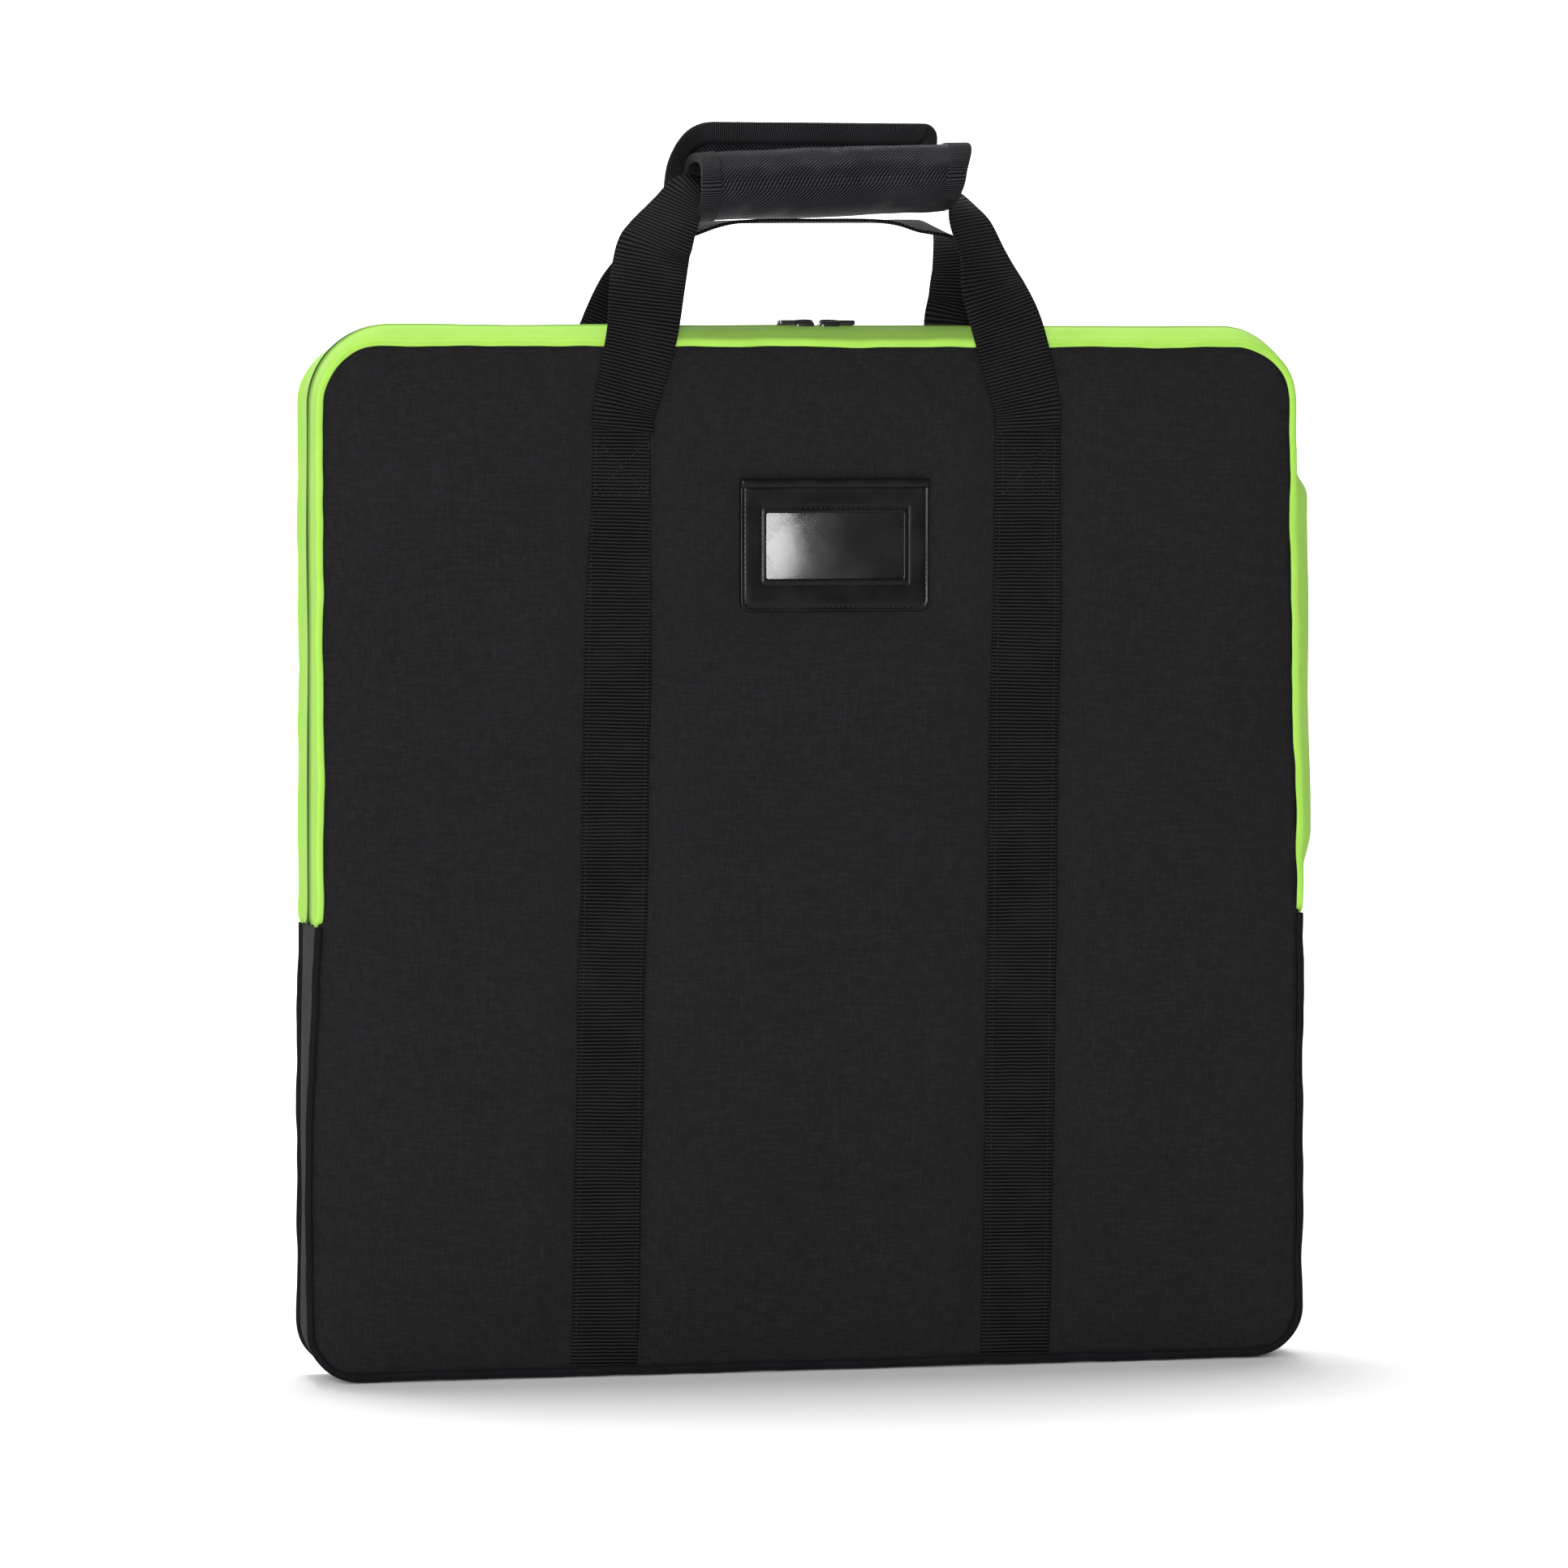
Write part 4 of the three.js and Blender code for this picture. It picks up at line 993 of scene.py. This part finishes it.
# a straight run of points on a panel, at its cover's face plus lift
def onPanel(x0, z0, x1, z1, side, lift):
    t = np.linspace(0, 1, 60)
    x, z = x0 + (x1 - x0) * t, z0 + (z1 - z0) * t
    return np.stack([x, side * (coverFace(x, z) + lift), z], 1)


strapTop = strap["thickness"] + 0.05 * mm
for side, body, label in ((-1, "front_flap", "Front"), (1, "root", "Rear")):
    boxes, edges = [], []
    for s in (-1, 1):
        low, high = stitch["boxLow"], stitch["boxHigh"]
        c0, c1 = (strapCentre(s, np.array(z), side > 0) for z in (low, high))
        w = strap["width"] / 2 - stitch["boxInset"]
        # foot and head of a box, its sides, and the cross inside it
        for x0, z0, x1, z1 in ((c0 - w, low, c0 + w, low), (c1 - w, high, c1 + w, high),
                               (c0 - w, low, c1 - w, high), (c0 + w, low, c1 + w, high),
                               (c0 - w, low, c1 + w, high), (c0 + w, low, c1 - w, high)):
            boxes.append(onPanel(x0, z0, x1, z1, side, strapTop))
        low, high = stitch["edgeLow"], stitch["edgeHigh"]
        c0, c1 = (strapCentre(s, np.array(z), side > 0) for z in (low, high))
        for e in (-1, 1):
            off = e * (strap["width"] / 2 - stitch["edgeInset"])
            edges.append(onPanel(c0 + off, low, c1 + off, high, side, strapTop))
    outward = np.array([0, side, 0.0])
    stitchRow(f"boxStitches{label}", boxes, outward, stitch["pitch"], stitch["boxGauge"], body)
    stitchRow(f"edgeStitches{label}", edges, outward, stitch["pitch"], stitch["edgeGauge"],
              None if side < 0 else "root")

# holder: round the outside edge and round the window
stitchY = holder["y"] - 0.95 * mm
outside = holderLoop(edgeKeys, -2 * mm, -5.6 * mm, 3.5 * mm, 1 * mm)
window = holderLoop(windowKeys, 2.6 * mm, 2.6 * mm, 1 * mm, 1 * mm)
rows = [np.column_stack([p[:, 0], np.full(len(p), stitchY), p[:, 1]]) for p in (outside, window)]
stitchRow("holderStitches", rows, np.array([0, -1.0, 0]), stitch["holderPitch"],
          stitch["holderGauge"], "front_flap")
print("stitching ready")


# sliders and pulls

slider = {"top": 3.9 * mm, "power": 6, "bridgeHalf": (5 * mm, 2.4 * mm), "bridgeLow": 0.8 * mm,
          "bridgeRise": 0.6 * mm, "bridgePower": 4, "tabDrop": 0.7 * mm, "tabRise": 1.1 * mm,
          "tabPower": 7}


# cast pieces, each a superellipsoid that fills its box: |x|^n + |y|^n + |z|^n = 1
def castPiece(name, node, body, low, high, power):
    a, b = np.meshgrid(np.linspace(-np.pi / 2, np.pi / 2, 25)[1:-1],
                       np.arange(40) * 2 * np.pi / 40, indexing="ij")

    def bent(value):
        return np.sign(value) * np.abs(value) ** (2 / power)

    shape = np.stack([bent(np.sin(a)), bent(np.cos(a)) * bent(np.cos(b)),
                      bent(np.cos(a)) * bent(np.sin(b))], -1)
    low, high = np.array(low), np.array(high)
    points = (low + high) / 2 + shape * (high - low) / 2
    piece = surface(name, points, enamel, ring=True, caps=True)
    faceOut(piece)
    place(piece, body, "paint", *([node] if node else []))


for label in ("left", "right"):
    title, body = label.title(), f"slider_{label}"
    low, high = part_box(f"zip_slider_{label}")
    castPiece(f"slider{title}", f"zip_slider_{label}", body, low,
              (high.x, high.y, caseTop + slider["top"]), slider["power"])
    # the bridge that holds the pull's eye
    middle = (low.x + high.x) / 2
    halfX, halfY = slider["bridgeHalf"]
    castPiece(f"bridge{title}", None, body,
              (middle - halfX, -halfY, caseTop + slider["bridgeLow"]),
              (middle + halfX, halfY, high.z + slider["bridgeRise"]), slider["bridgePower"])
    low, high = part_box(f"pull_tab_{label}")
    castPiece(f"pullTab{title}", f"pull_tab_{label}", f"tab_{label}",
              (low.x, low.y, low.z - slider["tabDrop"]),
              (high.x, high.y, high.z + slider["tabRise"]), slider["tabPower"])
print("sliders ready")


# stage, light and camera

# Floor and backdrop in one sheet: flat to bendY, then curving up behind by
# z = 1.1 * ((y - bendY) / 2)^2.
stage = {"near": -7, "far": 7, "halfWide": 9, "bendY": 1.5, "colour": "#fbfbfb", "roughness": 0.9,
         "worldLight": 0.33}
paper = newMaterial("matt paper sweep", Roughness=stage["roughness"],
                    Base_Color=toLinear(stage["colour"]))[0]
y = np.concatenate([np.linspace(stage["near"], stage["bendY"], 8),
                    np.linspace(1.7, stage["far"], 26)])
z = 1.1 * (np.maximum(y - stage["bendY"], 0) / 2) ** 2
sweepX, sweepY = np.meshgrid(np.linspace(-stage["halfWide"], stage["halfWide"], 3), y,
                             indexing="ij")
sweep = surface("paperSweep", np.stack([sweepX, sweepY, np.repeat(z[None], 3, 0)], -1), paper)

world = bpy.data.worlds.new("studio")
bpy.context.scene.world = world
world.use_nodes = True
background = world.node_tree.nodes["Background"]
background.inputs["Color"].default_value = (1, 1, 1, 1)
background.inputs["Strength"].default_value = stage["worldLight"]


def softbox(name, spot, target, size, power):
    data = bpy.data.lights.new(name, "AREA")
    data.shape = "RECTANGLE"
    data.size, data.size_y = size
    data.energy = power
    lamp = bpy.data.objects.new(name, data)
    bpy.context.scene.collection.objects.link(lamp)
    lamp.location = spot
    lamp.rotation_euler = (Vector(target) - Vector(spot)).to_track_quat("-Z", "Y").to_euler()
    return lamp


# each light: its place, where it looks, its size and its power in watts
lights = {"overheadLight": ((-0.05, 0.6, 3.0), (-0.05, 0.2, 0), (1.4, 1.0), 60),
          "frontLight": ((-1.3, -4.0, 1.0), (0, 0, 0.3), (1.6, 1.2), 140),
          "leftLight": ((-2.4, -0.8, 1.3), (0, 0, 0.35), (0.8, 1.4), 12),
          "backdropLight": ((0, 2.2, 3.4), (0, 5.5, 0.6), (6, 1.5), 260)}
for name, settings in lights.items():
    softbox(name, *settings)
# a narrow card that lights only the holder's window, for the bright end of it
card = softbox("holderCard", (0.115, -0.85, 0.43), (0.115, 0, 0.43), (0.13, 0.4), 3.0)
card.visible_camera = False
windowOnly = bpy.data.collections.new("windowOnly")
windowOnly.objects.link(idWindow)
card.light_linking.receiver_collection = windowOnly

bpy.context.scene.view_settings.view_transform = "Standard"
camera = bpy.data.objects.new("camera", bpy.data.cameras.new("camera"))
bpy.context.scene.collection.objects.link(camera)
camera.location = (-1.0774, -4.1616, 0.485)
camera.rotation_euler = (math.radians(90 - 2.528), 0, math.radians(-14.388))
camera.data.lens = 195.4
camera.data.sensor_width = 36
bpy.context.scene.camera = camera

print("scene ready")
